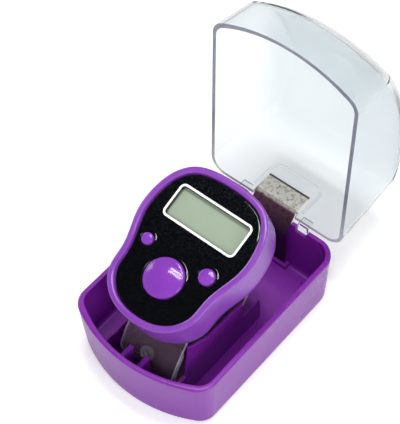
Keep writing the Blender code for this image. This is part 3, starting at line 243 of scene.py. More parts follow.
def raised(plan, z):
    """Plan points at a height, one for all or one for each."""
    return np.column_stack([plan, np.broadcast_to(z, len(plan))])


def face_outwards(made):
    """Merges doubled points and turns every face outwards."""
    work = bmesh.new()
    work.from_mesh(made.data)
    bmesh.ops.remove_doubles(work, verts=work.verts, dist=1e-6)
    bmesh.ops.recalc_face_normals(work, faces=work.faces)
    work.to_mesh(made.data)
    work.free()
    return made


def weigh_normals(made):
    """Shades large flat faces flat beside small rounded ones, by face area."""
    modifier = made.modifiers.new("even_shading", "WEIGHTED_NORMAL")
    modifier.keep_sharp = True
    return made


# Where the rear rim gives way: a gate for the spring, a little left of the middle, and a notch for
# each lug. A point stands close by each of their corners, so that their sides are steep.
spring_x = -0.45 * mm
gate_left, gate_right, gate_z = spring_x - 7.25 * mm, spring_x + 7.25 * mm, 16.0 * mm
lug_near, lug_far, lug_z = 8.6 * mm, 12.4 * mm, 16.9 * mm
step = 0.12 * mm
rear_edges = np.array([-lug_far, -lug_near, gate_left, gate_right, lug_near, lug_far])
rear_marks = np.sort(np.concatenate([rear_edges - step, rear_edges, rear_edges + step,
                                     np.linspace(-15.5, 15.5, 15) * mm]))


def rim_height(x):
    """Height of the rear rim across the case: the full height, less two lug notches and the gate."""
    outside = np.maximum(gate_left - x, x - gate_right)
    gate = gate_z + (tray_height - gate_z) * np.clip(outside / step, 0, 1)
    beside = np.maximum(lug_near - np.abs(x), np.abs(x) - lug_far)
    lug = lug_z + (tray_height - lug_z) * np.clip(beside / step, 0, 1)
    return np.minimum(gate, lug)


def tray_ring(shrink, z):
    """The tray's plan moved in all round, at a height that gives way to the notches."""
    plan = case_plan(tray_half - shrink, tray_rear - shrink, tray_front + shrink, tray_bow,
                     max(rear_round - shrink, 0.6 * mm), max(front_round - shrink, 0.6 * mm), rear_marks)
    at_rear = plan[:, 1] > tray_rear - shrink - 0.01 * mm
    height = np.where(at_rear, np.minimum(z, rim_height(plan[:, 0])), z)
    return raised(plan, height)


# Section through the wall, each point an inset and a height: under the foot, up the outside, over
# the rim's two rounds, down the inside, and round onto the floor.
lean, rim_inset, inner_draft = tray_draft / tray_height, 0.03 * mm, 0.9 * tray_draft
profile = [(tray_draft + 6 * mm, 0.0), (tray_draft + 1.8 * mm, 0.0)]
profile += [(tray_draft - lean * foot_round * (1 - math.sin(a)) + foot_round * (1 - math.cos(a)),
             foot_round * (1 - math.sin(a))) for a in np.linspace(math.pi / 2, 0, 8)]
profile += [(tray_draft - lean * z * mm, z * mm) for z in (5, 9, 13, 16)]
profile += [(rim_inset, tray_height - rim_outer)]
profile += [(rim_inset + rim_outer * (1 - math.cos(a)), tray_height - rim_outer * (1 - math.sin(a)))
            for a in np.linspace(0.2, math.pi / 2, 8)]
profile += [(tray_wall - rim_inner * (1 - math.sin(a)), tray_height - rim_inner * (1 - math.cos(a)))
            for a in np.linspace(0.0, math.pi / 2, 6)]
profile += [(tray_wall + inner_draft * (tray_height - z * mm) / tray_height, z * mm)
            for z in (16, 13, 9, 5)]
profile += [(tray_wall + inner_draft + floor_round * (1 - math.cos(a)),
             tray_floor + floor_round * (1 - math.sin(a))) for a in np.linspace(0, math.pi / 2, 6)]
profile += [(tray_wall + tray_draft + 5 * mm, tray_floor)]
tray = put_mesh("tray", *skin([tray_ring(s, z) for s, z in profile], cap_first=True, cap_last=True))
weigh_normals(face_outwards(tray))


def moulded(name, base, bright, grain, roughness, depth, clouds, fleck="B9A6C8", flecks=0.25):
    """Moulded plastic: a base colour that drifts a little over centimetres, a fine tool grain in the
    bump, a roughness that varies where hands and the tool polished it, and sparse pale lint."""
    made, tree, out = new_material(name)
    where = add_node(tree, "ShaderNodeTexCoord").outputs["Object"]
    drift = add_node(tree, "ShaderNodeTexNoise", Vector=where, Scale=1 / (14.3 * mm), Detail=2.0)
    tone = add_node(tree, "ShaderNodeMapRange", i0=drift.outputs[0], i1=0.3, i2=0.7, i3=0.0, i4=clouds)
    body = add_node(tree, "ShaderNodeMix", {"data_type": "RGBA"}, i0=tone.outputs[0], i6=colour(base),
                    i7=colour(bright))
    lint = add_node(tree, "ShaderNodeTexNoise", Vector=where, Scale=1 / (0.45 * mm), Detail=1.0)
    sparse = add_node(tree, "ShaderNodeMapRange", i0=lint.outputs[0], i1=0.73, i2=0.80, i3=0.0, i4=flecks)
    dusty = add_node(tree, "ShaderNodeMix", {"data_type": "RGBA"}, i0=sparse.outputs[0],
                     i6=body.outputs[2], i7=colour(fleck))
    fine = add_node(tree, "ShaderNodeTexNoise", Vector=where, Scale=1 / (grain * mm), Detail=3.0)
    bump = add_node(tree, "ShaderNodeBump", Height=fine.outputs[0], Strength=0.25, Distance=depth * mm)
    polish = add_node(tree, "ShaderNodeMapRange", i0=drift.outputs[0], i1=0.3, i2=0.7,
                      i3=roughness * 0.85, i4=roughness * 1.15)
    shader = add_node(tree, "ShaderNodeBsdfPrincipled", Base_Color=dusty.outputs[2],
                      Roughness=polish.outputs[0], IOR=1.5, Normal=bump.outputs[0])
    tree.links.new(shader.outputs[0], out.inputs[0])
    return made


# Purple polypropylene, injection moulded in a lightly textured tool: deep colour, a soft milky sheen.
tray_plastic = moulded("polypropylene_moulded_purple", "771A96", "8224A4", 0.35, 0.30, 0.015, 0.5)
tray.data.materials.append(tray_plastic)
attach(tray, "base")
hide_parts("base_tray")


def upright(name, outline, x0, x1):
    """A moulded wall: its side outline in (y, z), in millimetres, carried from one x to another, with
    softly rounded edges."""
    side_view = np.array(outline) * mm
    rings = [np.column_stack([np.full(len(side_view), x), side_view]) for x in sorted((x0, x1))]
    made = face_outwards(put_mesh(name, *skin(rings, cap_first=True, cap_last=True)))
    modifier = made.modifiers.new("soft_edges", "BEVEL")
    modifier.width, modifier.segments, modifier.limit_method = 0.15 * mm, 2, "ANGLE"
    return weigh_normals(made)


# Standing on its floor, in the same moulding: two low walls that cradle the counter, two ribs behind
# the front wall, and a pocket for the spring's lower leg, of two cheeks, a keeper and a backing.
cradle_in, cradle_out = 11.5 * mm, 12.3 * mm
root, low, tall, pocket = 1.0, 10.0, 15.6, 2.6
cradle_nose = (tray_front - tray_bow * (1 - (cradle_out / tray_half) ** 2)) / mm + 1.9
cradle_top = {"left": [(-0.8, 17.0), (-19.5, 18.2), (-19.6, low)],
              "right": [(-0.8, 17.0), (-15.6, 18.2), (-22.6, 22.5), (-24.4, low)]}
tray_walls = []
for word, sign in (("left", -1), ("right", 1)):
    cradle_side = [(cradle_nose, root), (6.9, root), (6.9, low), (-0.8, low), *cradle_top[word],
                   (cradle_nose - 0.5, low)]
    rib_side = [(-33.4, root), (-28.4, root), (-28.4, tall), (-34.0, tall)]
    cheek_side = [(23.8, root), (27.3, root), (27.3, pocket), (23.8, pocket)]
    tray_walls += [
        upright(f"cradle_wall_{word}", cradle_side, sign * cradle_in, sign * cradle_out),
        upright(f"front_rib_{word}", rib_side, sign * 2.15 * mm, sign * 3.45 * mm),
        upright(f"spring_cheek_{word}", cheek_side, spring_x + sign * 7.25 * mm, spring_x + sign * 8.45 * mm)]
for word, y0, y1 in (("keeper", 23.8, 25.0), ("backing", 26.0, 27.3)):
    tray_walls.append(upright(f"spring_{word}", [(y0, root), (y1, root), (y1, pocket), (y0, pocket)],
                              gate_left, gate_right))
for piece in tray_walls:
    piece.data.materials.append(tray_plastic)
    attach(piece, "base")

# Lid: a thin crowned shell in clear polystyrene, injection moulded, open about its hinge. Two lugs
# at its rear rim turn in the tray's notches, and a low frame of ribs holds the spring's upper leg.

lid_half, lid_rear, lid_front, lid_bow, lid_corner = 22.9 * mm, 28.2 * mm, -28.2 * mm, 6.5 * mm, 5.2 * mm
lid_wall, lid_rim = 1.1 * mm, 19.3 * mm
roof_peak, peak_share, nose_drop, tail_drop = 31 * mm, 0.72, 17.5 * mm, 3 * mm
open_turn = Matrix.Rotation(math.radians(-92), 4, "X")
to_open = Matrix.Translation((0, hinge_y, hinge_z)) @ open_turn @ Matrix.Translation((0, -hinge_y, -hinge_z))


def opened(points):
    """Points of the closed lid, turned 92 degrees back about the hinge line."""
    turn = np.array(to_open)
    return np.asarray(points) @ turn[:3, :3].T + turn[:3, 3]


def roof_height(share):
    """Roof above the rim along the lid, front 0 to rear 1: a power curve up to its peak, then a
    parabola down."""
    ahead = np.clip(share / peak_share, 0, 1)
    behind = np.clip((share - peak_share) / (1 - peak_share), 0, 1)
    return roof_peak - nose_drop * (1 - ahead) ** 1.9 - tail_drop * behind ** 2


lid_marks = np.sort(np.concatenate([np.linspace(-16.5, 16.5, 34) * mm,
                                    [gate_left - step, gate_left, gate_right, gate_right + step]]))


def lid_ring(wall, shrink, share):
    """A ring of the lid's skin: the plan moved in, at a share of the roof's height above it, with the
    spring's gate left out of the rear rim."""
    scale = (lid_half - shrink) / lid_half
    radius = max((lid_corner - wall) * scale, 0.3 * mm)
    plan = case_plan(lid_half - wall - shrink, lid_rear - wall - shrink, lid_front + wall + shrink,
                     lid_bow * scale, radius, radius, lid_marks * scale)
    nose = lid_front - lid_bow * (1 - np.clip(plan[:, 0] / lid_half, -1, 1) ** 2)
    along = np.clip((plan[:, 1] - nose) / (lid_rear - nose), 0, 1)
    z = lid_rim + np.clip((roof_height(along) - wall) * share, 0, None)
    outside = np.maximum(gate_left - plan[:, 0], plan[:, 0] - gate_right)
    in_gate = (plan[:, 1] > lid_rear - wall - shrink - 0.01 * mm) & (outside < step / 2)
    return raised(plan, np.where(in_gate, np.maximum(z, lid_rim + 1.7 * mm), z))


# Rings from the rim up, each an inset and a share of the roof's height: the side leans in a little,
# a quarter round of 4.6 mm leads into the crown, and the crown closes towards the middle.
steps = [(0.0, 0.0), (0.15 * mm, 0.14), (0.3 * mm, 0.28), (0.45 * mm, 0.42), (0.6 * mm, 0.55)]
steps += [((0.6 + 0.4 * t) * mm, 0.55 + 0.29 * t) for t in (0.35, 0.7)]
steps += [(1.0 * mm + 4.6 * mm * (1 - math.cos(a)), 0.84 + 0.16 * math.sin(a))
          for a in np.linspace(0, math.pi / 2, 12)]
steps += [(s * mm, 1.0) for s in (7, 9, 11, 13, 15, 17, 19, 20.6)]
lid_rings = [lid_ring(0.0, s, g) for s, g in steps[::-1]] + [lid_ring(lid_wall, s, g) for s, g in steps]
lid = put_mesh("lid_shell", *skin([opened(r) for r in lid_rings], cap_first=True, cap_last=True),
               smooth_below=50)
# Between the outer and the inner skin lies one row of faces: the rim, in its own material.
in_rim = np.zeros(len(lid.data.polygons), dtype=np.int32)
row_size = len(lid_rings[0])
rim_row = (len(steps) - 1) * row_size
in_rim[rim_row:rim_row + row_size] = 1
lid.data.polygons.foreach_set("material_index", in_rim)
weigh_normals(face_outwards(lid))


def clear_moulded(name, tint, roof_shade_tint, ior):
    """Clear moulded plastic: a faint cool tint, darkened in the broad roof as painted shade, slow flow
    waves in the bump and a haze that comes and goes with them."""
    made, tree, out = new_material(name)
    where = add_node(tree, "ShaderNodeTexCoord").outputs["Object"]
    flow = add_node(tree, "ShaderNodeTexNoise", Vector=where, Scale=1 / (18.2 * mm), Detail=1.0)
    waves = add_node(tree, "ShaderNodeBump", Height=flow.outputs[0], Strength=0.12, Distance=0.4 * mm)
    haze = add_node(tree, "ShaderNodeMapRange", i0=flow.outputs[0], i1=0.35, i2=0.65, i3=0.02, i4=0.07)
    rearward = add_node(tree, "ShaderNodeSeparateXYZ", Vector=where).outputs[1]
    # Towards the roof the tint darkens: painted shade.
    roof_shade = add_node(tree, "ShaderNodeMapRange", i0=rearward, i1=48 * mm, i2=57 * mm, i3=0.0, i4=1.0)
    tone = add_node(tree, "ShaderNodeMix", {"data_type": "RGBA"}, i0=roof_shade.outputs[0], i6=colour(tint),
                    i7=colour(roof_shade_tint))
    glassy = add_node(tree, "ShaderNodeBsdfPrincipled", Base_Color=tone.outputs[2], Roughness=haze.outputs[0],
                      IOR=ior, Transmission_Weight=1.0, Normal=waves.outputs[0])
    tree.links.new(glassy.outputs[0], out.inputs[0])
    return made


# Clear polystyrene from a polished tool: IOR 1.59 seen as less, since the sheet is thin. Its small
# ribs bend what is behind them even less, and show as faint light lines.
# The lid's broad roof takes a darker tint, which is painted shade.
clear_styrene = clear_moulded("polystyrene_clear_moulded", "ECF0F2", "D8DFE2", 1.24)
clear_rib = clear_moulded("polystyrene_clear_rib", "F6F8F9", "F6F8F9", 1.15)
# The rim of the same sheet: light that has run along the wall comes out grey-violet, and pale near
# the hinge, where the way is short.
styrene_rim, tree, out = new_material("polystyrene_rim_edge")
where = add_node(tree, "ShaderNodeTexCoord").outputs["Object"]
patchy = add_node(tree, "ShaderNodeTexNoise", Vector=where, Scale=1 / (3.85 * mm), Detail=2.0)
tone = add_node(tree, "ShaderNodeMix", {"data_type": "RGBA"}, i0=patchy.outputs[0], i6=colour("7B7E90"),
                i7=colour("B2B5C4"))
above = add_node(tree, "ShaderNodeSeparateXYZ", Vector=where).outputs[2]
near_hinge = add_node(tree, "ShaderNodeMapRange", i0=above, i1=21 * mm, i2=38 * mm, i3=1.0, i4=0.0)
tone = add_node(tree, "ShaderNodeMix", {"data_type": "RGBA"}, i0=near_hinge.outputs[0], i6=tone.outputs[2],
                i7=colour("DFE2E8"))
edge = add_node(tree, "ShaderNodeBsdfPrincipled", Base_Color=tone.outputs[2], Roughness=0.25, IOR=1.45,
                Transmission_Weight=0.25)
tree.links.new(edge.outputs[0], out.inputs[0])
lid.data.materials.append(clear_styrene)
lid.data.materials.append(styrene_rim)
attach(lid, "lid")
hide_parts("lid")


def rounded_rectangle(width, depth, radius, centre=(0, 0), count=9):
    """Four quarter circles joined by straight sides, anticlockwise."""
    quarter = np.linspace(0, math.pi / 2, count)
    corners = [(width / 2 - radius, depth / 2 - radius, 0), (-width / 2 + radius, depth / 2 - radius, 1),
               (-width / 2 + radius, -depth / 2 + radius, 2), (width / 2 - radius, -depth / 2 + radius, 3)]
    runs = [np.column_stack([cx + radius * np.cos(quarter + k * math.pi / 2),
                             cy + radius * np.sin(quarter + k * math.pi / 2)]) for cx, cy, k in corners]
    return np.vstack(runs) + np.asarray(centre)


def raised_rib(name, middle, width, y0, y1, edge):
    """A low rib along an (x, z) line on the lid's rear wall: the line moved to both sides by half the
    width and carried from y0 to y1, with rounded edges."""
    along = np.gradient(middle, axis=0)
    along /= np.linalg.norm(along, axis=1)[:, None]
    square = np.column_stack([-along[:, 1], along[:, 0]])
    outline = np.vstack([middle + square * width / 2, (middle - square * width / 2)[::-1]])
    rings = [opened(np.column_stack([outline[:, 0], np.full(len(outline), y), outline[:, 1]]))
             for y in (y0, y1)]
    made = face_outwards(put_mesh(name, *skin(rings, cap_first=True, cap_last=True)))
    modifier = made.modifiers.new("soft_edges", "BEVEL")
    modifier.width, modifier.segments, modifier.limit_method = edge, 3, "ANGLE"
    return weigh_normals(made)


# The frame is an arch: up one side, round two corners and down the other side.
frame_half, frame_start, frame_end, frame_bend = 8.35 * mm, hinge_z + 2.3 * mm, hinge_z + 12.3 * mm, 2.9 * mm
bend = np.linspace(0, math.pi / 2, 9)
far, near = frame_bend * (1 - np.cos(bend)), frame_bend * (1 - np.sin(bend))
leg = np.linspace(frame_start, frame_end - frame_bend, 9)[:-1]
frame_line = np.vstack([np.column_stack([np.full(8, -frame_half), leg]),
                        np.column_stack([-frame_half + far, frame_end - near]),
                        np.column_stack([frame_half - near, frame_end - far]),
                        np.column_stack([np.full(8, frame_half), leg[::-1]])])
lid_ribs = [raised_rib("spring_frame", frame_line + [spring_x, 0], 0.9 * mm, 26.5 * mm, 27.15 * mm, 0.3 * mm)]
# A lug in side view, with the lid open: out from the rim, then a hook down into the tray's notch.
lug_side = [(27.4, 17.3), (28.4, 17.3), (28.4, 19.7), (30.4, 19.7), (30.4, 20.6), (27.4, 20.6)]
for word, sign in (("left", -1), ("right", 1)):
    lid_ribs.append(upright(f"hinge_lug_{word}", lug_side, sign * 8.9 * mm, sign * 12.1 * mm))
for piece in lid_ribs:
    piece.data.materials.append(clear_rib)
    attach(piece, "lid")

# Leaf spring: one strip of spring steel, creased across its middle. Its upper leg lies in the
# lid's frame and its lower leg in the tray's pocket, so the lid snaps open and shut.


def rounded_line(corners, radius, count=7):
    """A bent line: straight runs joined by a parabola at each corner."""
    corners = np.asarray(corners, dtype=float)
    runs = [corners[:1]]
    t = np.linspace(0, 1, count)[:, None]
    for before, corner, after in zip(corners, corners[1:], corners[2:]):
        a, b = before - corner, after - corner
        a, b = a / np.linalg.norm(a), b / np.linalg.norm(b)
        reach = radius / math.tan(math.acos(float(np.clip(a @ b, -1, 1))) / 2)
        runs.append((1 - t) ** 2 * (corner + a * reach) + 2 * t * (1 - t) * corner
                    + t * t * (corner + b * reach))
    return np.vstack(runs + [corners[-1:]])


def strip_rings(path, widths, thickness, edge, middle=0.0):
    """Sections of a strip carried along a (y, z) path: a rectangle with cut corners, square to it."""
    path = np.asarray(path)
    along = np.gradient(path, axis=0)
    along /= np.linalg.norm(along, axis=1)[:, None]
    square = np.stack([-along[:, 1], along[:, 0]], axis=1)
    h = thickness / 2
    w = np.asarray(widths)[:, None] / 2
    ones = np.ones((1, 8))
    x = np.hstack([w - edge, w, w, w - edge, -w + edge, -w, -w, -w + edge]) + middle
    off = np.array([[-h, -h + edge, h - edge, h, h, h - edge, -h + edge, -h]]) * np.ones((len(path), 1))
    y = path[:, :1] * ones + square[:, :1] * off
    z = path[:, 1:] * ones + square[:, 1:] * off
    return np.stack([x, y, z], axis=-1)


leaf_path = rounded_line([(36.1 * mm, 21.25 * mm), (31.5 * mm, 21.35 * mm), (30.2 * mm, 21.5 * mm),
                          (25.5 * mm, 15.1 * mm), (25.5 * mm, 1.8 * mm)], 0.4 * mm)
leaf_count, leaf_width, leaf_thick, leaf_edge = 110, 13.9 * mm, 0.4 * mm, 0.06 * mm
run = np.concatenate([[0], np.cumsum(np.linalg.norm(np.diff(leaf_path, axis=0), axis=1))])
leaf_run = np.linspace(0, run[-1], leaf_count)
leaf_line = np.column_stack([np.interp(leaf_run, run, leaf_path[:, k]) for k in (0, 1)])
leaf_rings = strip_rings(leaf_line, np.full(leaf_count, leaf_width), leaf_thick, leaf_edge, spring_x)
leaf = put_mesh("leaf_spring", *skin(leaf_rings, cap_first=True, cap_last=True))
# Each point keeps its way along the strip from the upper end, in millimetres, for the finish to read.
from_end = leaf.data.attributes.new("from_end", "FLOAT", "POINT")
from_end.data.foreach_set("value", np.repeat(leaf_run / mm, 8).astype(np.float32))
face_outwards(leaf)

# Spring steel, cold rolled and stained. Its upper leg is pale, painted light where the lid's light falls;
# a painted highlight lies on the crease, 6 mm from the upper end; below it is painted shade, a purple
# brown that darkens down the lower leg, its purple a painted reflection of the tray. It is dark at its
# cut end. The stained film dulls the metal. Its rolling lines are drawn 0.3 mm apart, coarse enough to show.
spring_steel, tree, out = new_material("spring_steel_rolled")
where = add_node(tree, "ShaderNodeTexCoord").outputs["Object"]
place = add_node(tree, "ShaderNodeAttribute", {"attribute_name": "from_end"}).outputs["Fac"]
stain = add_node(tree, "ShaderNodeTexNoise", Vector=where, Scale=1 / (1.1 * mm), Detail=5.0, Roughness=0.65)
spots = add_node(tree, "ShaderNodeMapRange", i0=stain.outputs[0], i1=0.50, i2=0.64, i3=0.0, i4=0.85)
# The upper leg: real stains on a paleness that is painted light.
pale = add_node(tree, "ShaderNodeMix", {"data_type": "RGBA"}, i0=spots.outputs[0], i6=colour("EAE7DF"),
                i7=colour("8E8070"))
# Below the crease: painted shade that deepens down the lower leg, purple as a painted reflection of the tray,
# with real stains.
shade_below_crease = add_node(tree, "ShaderNodeMapRange", i0=place, i1=6.3, i2=7.2, i3=0.0, i4=1.0)
shade_deepening = add_node(tree, "ShaderNodeMapRange", i0=place, i1=6.3, i2=13.0, i3=0.0, i4=1.0)
shaded_brown = add_node(tree, "ShaderNodeMix", {"data_type": "RGBA"}, i0=shade_deepening.outputs[0], i6=colour("6E4A58"),
                 i7=colour("3A1A3E"))
stains_in_shade = add_node(tree, "ShaderNodeMix", {"data_type": "RGBA"}, i0=spots.outputs[0], i6=shaded_brown.outputs[2],
                    i7=colour("33202A"))
lit_and_shaded_legs = add_node(tree, "ShaderNodeMix", {"data_type": "RGBA"}, i0=shade_below_crease.outputs[0], i6=pale.outputs[2],
                i7=stains_in_shade.outputs[2])
end_dark = add_node(tree, "ShaderNodeMapRange", i0=place, i1=0.45, i2=0.8, i3=1.0, i4=0.0)
ended = add_node(tree, "ShaderNodeMix", {"data_type": "RGBA"}, i0=end_dark.outputs[0], i6=lit_and_shaded_legs.outputs[2],
                 i7=colour("2E3326"))
# Along the crease, a painted highlight.
off_crease = add_node(tree, "ShaderNodeMath", {"operation": "SUBTRACT"}, i0=place, i1=6.0)
off_crease = add_node(tree, "ShaderNodeMath", {"operation": "ABSOLUTE"}, i0=off_crease.outputs[0])
crease_highlight = add_node(tree, "ShaderNodeMapRange", i0=off_crease.outputs[0], i1=0.10, i2=0.32, i3=0.45, i4=0.0)
crease_highlit = add_node(tree, "ShaderNodeMix", {"data_type": "RGBA"}, i0=crease_highlight.outputs[0], i6=ended.outputs[2],
                i7=colour("86705A"))
drawn = add_node(tree, "ShaderNodeMapping", Vector=where, Scale=(0.08, 1.0, 1.0))
lines = add_node(tree, "ShaderNodeTexNoise", Vector=drawn.outputs[0], Scale=1 / (0.3 * mm), Detail=2.0)
rolled = add_node(tree, "ShaderNodeBump", Height=lines.outputs[0], Strength=0.3, Distance=0.02 * mm)
metal = add_node(tree, "ShaderNodeBsdfPrincipled", Base_Color=crease_highlit.outputs[2], Metallic=0.45, Roughness=0.42,
                 Normal=rolled.outputs[0])
tree.links.new(metal.outputs[0], out.inputs[0])
leaf.data.materials.append(spring_steel)
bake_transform(leaf)
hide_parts("snap_spring")

# Lower shell: the counter's purple ABS dish, moulded with a rounded underside. It is held to the
# upper shell by four small screws from below, and carries the strap and the battery door.

tilt = math.radians(20.2)
panel_z = 43.5 * mm


def on_panel(points):
    """Points (u, v, n) across, along and above the panel, to the case's axes: tilted up at the rear."""
    points = np.asarray(points)
    u, v, n = points[..., 0], points[..., 1], points[..., 2]
    c, s = math.cos(tilt), math.sin(tilt)
    return np.stack([u, v * c - n * s, panel_z + v * s + n * c], axis=-1)


# Half of the housing's outline, from the middle of the rear round its right side to the front.
half_outline = np.array([(0.0, 12.2), (6.0, 11.8), (11.6, 10.0), (15.7, 5.4), (17.6, -1.2), (17.5, -7.6),
                         (15.8, -13.3), (14.7, -18.0), (14.2, -23.4), (11.3, -28.3), (6.2, -31.4),
                         (0.0, -32.3)]) * mm


def smooth_loop(knots, samples):
    """Evenly spaced points on the closed cubic curve through the knots whose bend runs on unbroken."""
    chord = np.linalg.norm(np.roll(knots, -1, axis=0) - knots, axis=1)
    n = len(knots)
    system, known = np.zeros((n, n)), np.zeros((n, 2))
    for i in range(n):
        before, after = chord[i - 1], chord[i]
        system[i, [i - 1, i, (i + 1) % n]] = after, 2 * (before + after), before
        known[i] = 3 * (before * (knots[(i + 1) % n] - knots[i]) / after
                        + after * (knots[i] - knots[i - 1]) / before)
    slope = np.linalg.solve(system, known)
    t = np.linspace(0, 1, 40, endpoint=False)[:, None, None]
    a, b = knots, np.roll(knots, -1, axis=0)
    d = chord[:, None]
    curve = ((1 + 2 * t) * (1 - t) ** 2 * a + t * (1 - t) ** 2 * d * slope + t * t * (3 - 2 * t) * b
             + t * t * (t - 1) * d * np.roll(slope, -1, axis=0))
    fine = curve.transpose(1, 0, 2).reshape(-1, 2)
    fine = np.vstack([fine, fine[:1]])
    run = np.concatenate([[0], np.cumsum(np.linalg.norm(np.diff(fine, axis=0), axis=1))])
    at = np.linspace(0, run[-1], samples, endpoint=False)
    return np.column_stack([np.interp(at, run, fine[:, k]) for k in (0, 1)])


housing = smooth_loop(np.vstack([half_outline, half_outline[1:-1][::-1] * [-1, 1]]), 260)
heading = np.roll(housing, -1, axis=0) - np.roll(housing, 1, axis=0)
heading /= np.linalg.norm(heading, axis=1)[:, None]
inward = np.column_stack([heading[:, 1], -heading[:, 0]])


def housing_loop(inset):
    """The housing's outline moved in along its normals."""
    return housing + inward * inset


def circle(radius, centre, count=72):
    """Points round a circle, anticlockwise."""
    a = np.arange(count) * 2 * math.pi / count
    return np.column_stack([centre[0] + radius * np.cos(a), centre[1] + radius * np.sin(a)])


def at_level(loop, n):
    """A loop of (u, v) points at a height above the panel."""
    return np.column_stack([loop, np.full(len(loop), n)])


def bore(made, loop, low, high):
    """Cuts a straight-walled hole of a loop's outline out of a piece, for good."""
    rings = on_panel([at_level(loop, low), at_level(loop, high)])
    tool = face_outwards(put_mesh("bore_tool", *skin(rings, cap_first=True, cap_last=True)))
    modifier = made.modifiers.new("bore", "BOOLEAN")
    modifier.operation, modifier.solver, modifier.object = "DIFFERENCE", "EXACT", tool
    bpy.context.view_layer.update()
    cut = bpy.data.meshes.new_from_object(made.evaluated_get(bpy.context.evaluated_depsgraph_get()))
    made.modifiers.remove(modifier)
    made.data = cut
    bpy.data.objects.remove(tool, do_unlink=True)


# Its section, each point an inset and a height: from the underside up a quarter of an ellipse, up
# the side to the seam, over a lip that fits inside the skirt, and down the inner wall to the floor.
seam, skirt, seam_gap, lip_rise, dish_top = -4.5 * mm, 1.0 * mm, 0.04 * mm, 0.8 * mm, -8.8 * mm
shell_profile = [(5 * mm * (1 - math.cos(a)), dish_top - 6.2 * mm * math.sin(a))
                 for a in np.linspace(math.pi / 2, 0, 16)]
shell_profile += [(0.0, seam - seam_gap), (skirt + 0.3 * mm, seam - seam_gap),
                  (skirt + 0.3 * mm, seam + lip_rise), (skirt + 0.9 * mm, seam + lip_rise),
                  (skirt + 0.9 * mm, -7.4 * mm)]
shell_profile += [(1.4 * mm + 3.6 * mm * (1 - math.cos(a)), dish_top - 4.4 * mm * math.sin(a))
                  for a in np.linspace(0, math.pi / 2, 10)]
lower = put_mesh("lower_shell", *skin([on_panel(at_level(housing_loop(s), n)) for s, n in shell_profile],
                                      cap_first=True, cap_last=True))
face_outwards(lower)
# Cut from below: the recesses of the four screws and of the door, the cell's opening and the door
# screw's hole in it, and the strap's two slots.
underneath = -16 * mm
strap_slots = (-26.0 * mm, 6.6 * mm)
for u, v in ((-12.8, -7.9), (12.8, -7.9), (-7.6, -25.2), (7.6, -25.2)):
    bore(lower, circle(1.45 * mm, (u * mm, v * mm), 24), underneath, -10.2 * mm)
bore(lower, rounded_rectangle(15.6 * mm, 17.8 * mm, 1.9 * mm, (0, -9.2 * mm)), underneath, -13.7 * mm)
bore(lower, circle(6.1 * mm, (0, -7.8 * mm), 48), -14 * mm, -13 * mm)
bore(lower, circle(0.95 * mm, (0, -15.7 * mm), 20), -14 * mm, -13 * mm)
for v in strap_slots:
    bore(lower, rounded_rectangle(9.8 * mm, 1.6 * mm, 0.2 * mm, (0, v)), underneath, -13 * mm)
lower.data.shade_smooth()
lower.data.set_sharp_from_angle(angle=math.radians(38))
weigh_normals(lower)
# Purple ABS, injection moulded in a polished tool: a touch bluer and glossier than the tray.
shell_plastic = moulded("abs_moulded_purple", "7E3CA8", "8A4AB2", 0.3, 0.22, 0.006, 0.6)
lower.data.materials.clear()
lower.data.materials.append(shell_plastic)
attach(lower, "counter")
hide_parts("lower_shell")

# Upper shell: the purple ABS rim round the panel, flat on top between two crisp edges, with a deck
# under the panel and a short skirt that meets the lower shell in a fine seam.

bezel, rise, deck_top, deck_low = 1.8 * mm, 0.85 * mm, -1.5 * mm, -2.7 * mm
# Each button's place on the panel, its radius, and how high it stands over the panel.
buttons = {"count": ((0.0, -18.6 * mm), 5.6 * mm, 1.9 * mm),
           "reset": ((-10.2 * mm, -12.6 * mm), 1.7 * mm, 1.1 * mm),
           "light": ((9.4 * mm, -12.3 * mm), 2.3 * mm, 1.2 * mm)}
clearance = 0.35 * mm


def flat_between(outer, holes, n):
    """A flat face filling an outline less its holes, in triangles that keep every edge of both."""
    loops = [outer] + holes
    points = [tuple(p) for loop in loops for p in loop]
    loose, start = [], 0
    for loop in loops:
        loose += [(start + i, start + (i + 1) % len(loop)) for i in range(len(loop))]
        start += len(loop)
    verts, _, faces, _, _, _ = delaunay_2d_cdt([Vector(p) for p in points], loose, [], 0, 1e-9, True)
    flat = np.array([tuple(v) for v in verts])

    def within(loop, at):
        """Even-odd rule: how often a ray to +u crosses the loop."""
        a, b = loop, np.roll(loop, -1, axis=0)
        hit = (a[:, 1] > at[1]) != (b[:, 1] > at[1])
        u = a[:, 0] + (at[1] - a[:, 1]) * (b[:, 0] - a[:, 0]) / np.where(hit, b[:, 1] - a[:, 1], 1)
        return np.count_nonzero(hit & (u > at[0])) % 2 == 1

    kept = [f for f in faces if within(outer, flat[list(f)].mean(axis=0))
            and not any(within(h, flat[list(f)].mean(axis=0)) for h in holes)]
    return at_level(flat, n), kept


def gathered(pieces):
    """One list of points and faces from several."""
    verts, faces, start = [], [], 0
    for v, f in pieces:
        verts.append(v)
        faces += [[i + start for i in face] for face in f]
        start += len(v)
    return np.vstack(verts), faces


# Section of the rim, from its inner wall over the top and down: a slope of 20 degrees at each edge.
rim_profile = [(bezel, deck_top)] + [(bezel - s * mm, rise - n * mm) for s, n in (
    (0.0, 0.32), (0.03, 0.24), (0.09, 0.18), (0.42, 0.045), (0.56, 0.0), (1.14, 0.0), (1.30, 0.045),
    (1.58, 0.15), (1.68, 0.21), (1.75, 0.30), (1.79, 0.42), (1.80, 0.60))]
rim_profile += [(0.0, -2.2 * mm), (0.0, seam), (skirt, seam), (skirt, deck_low)]
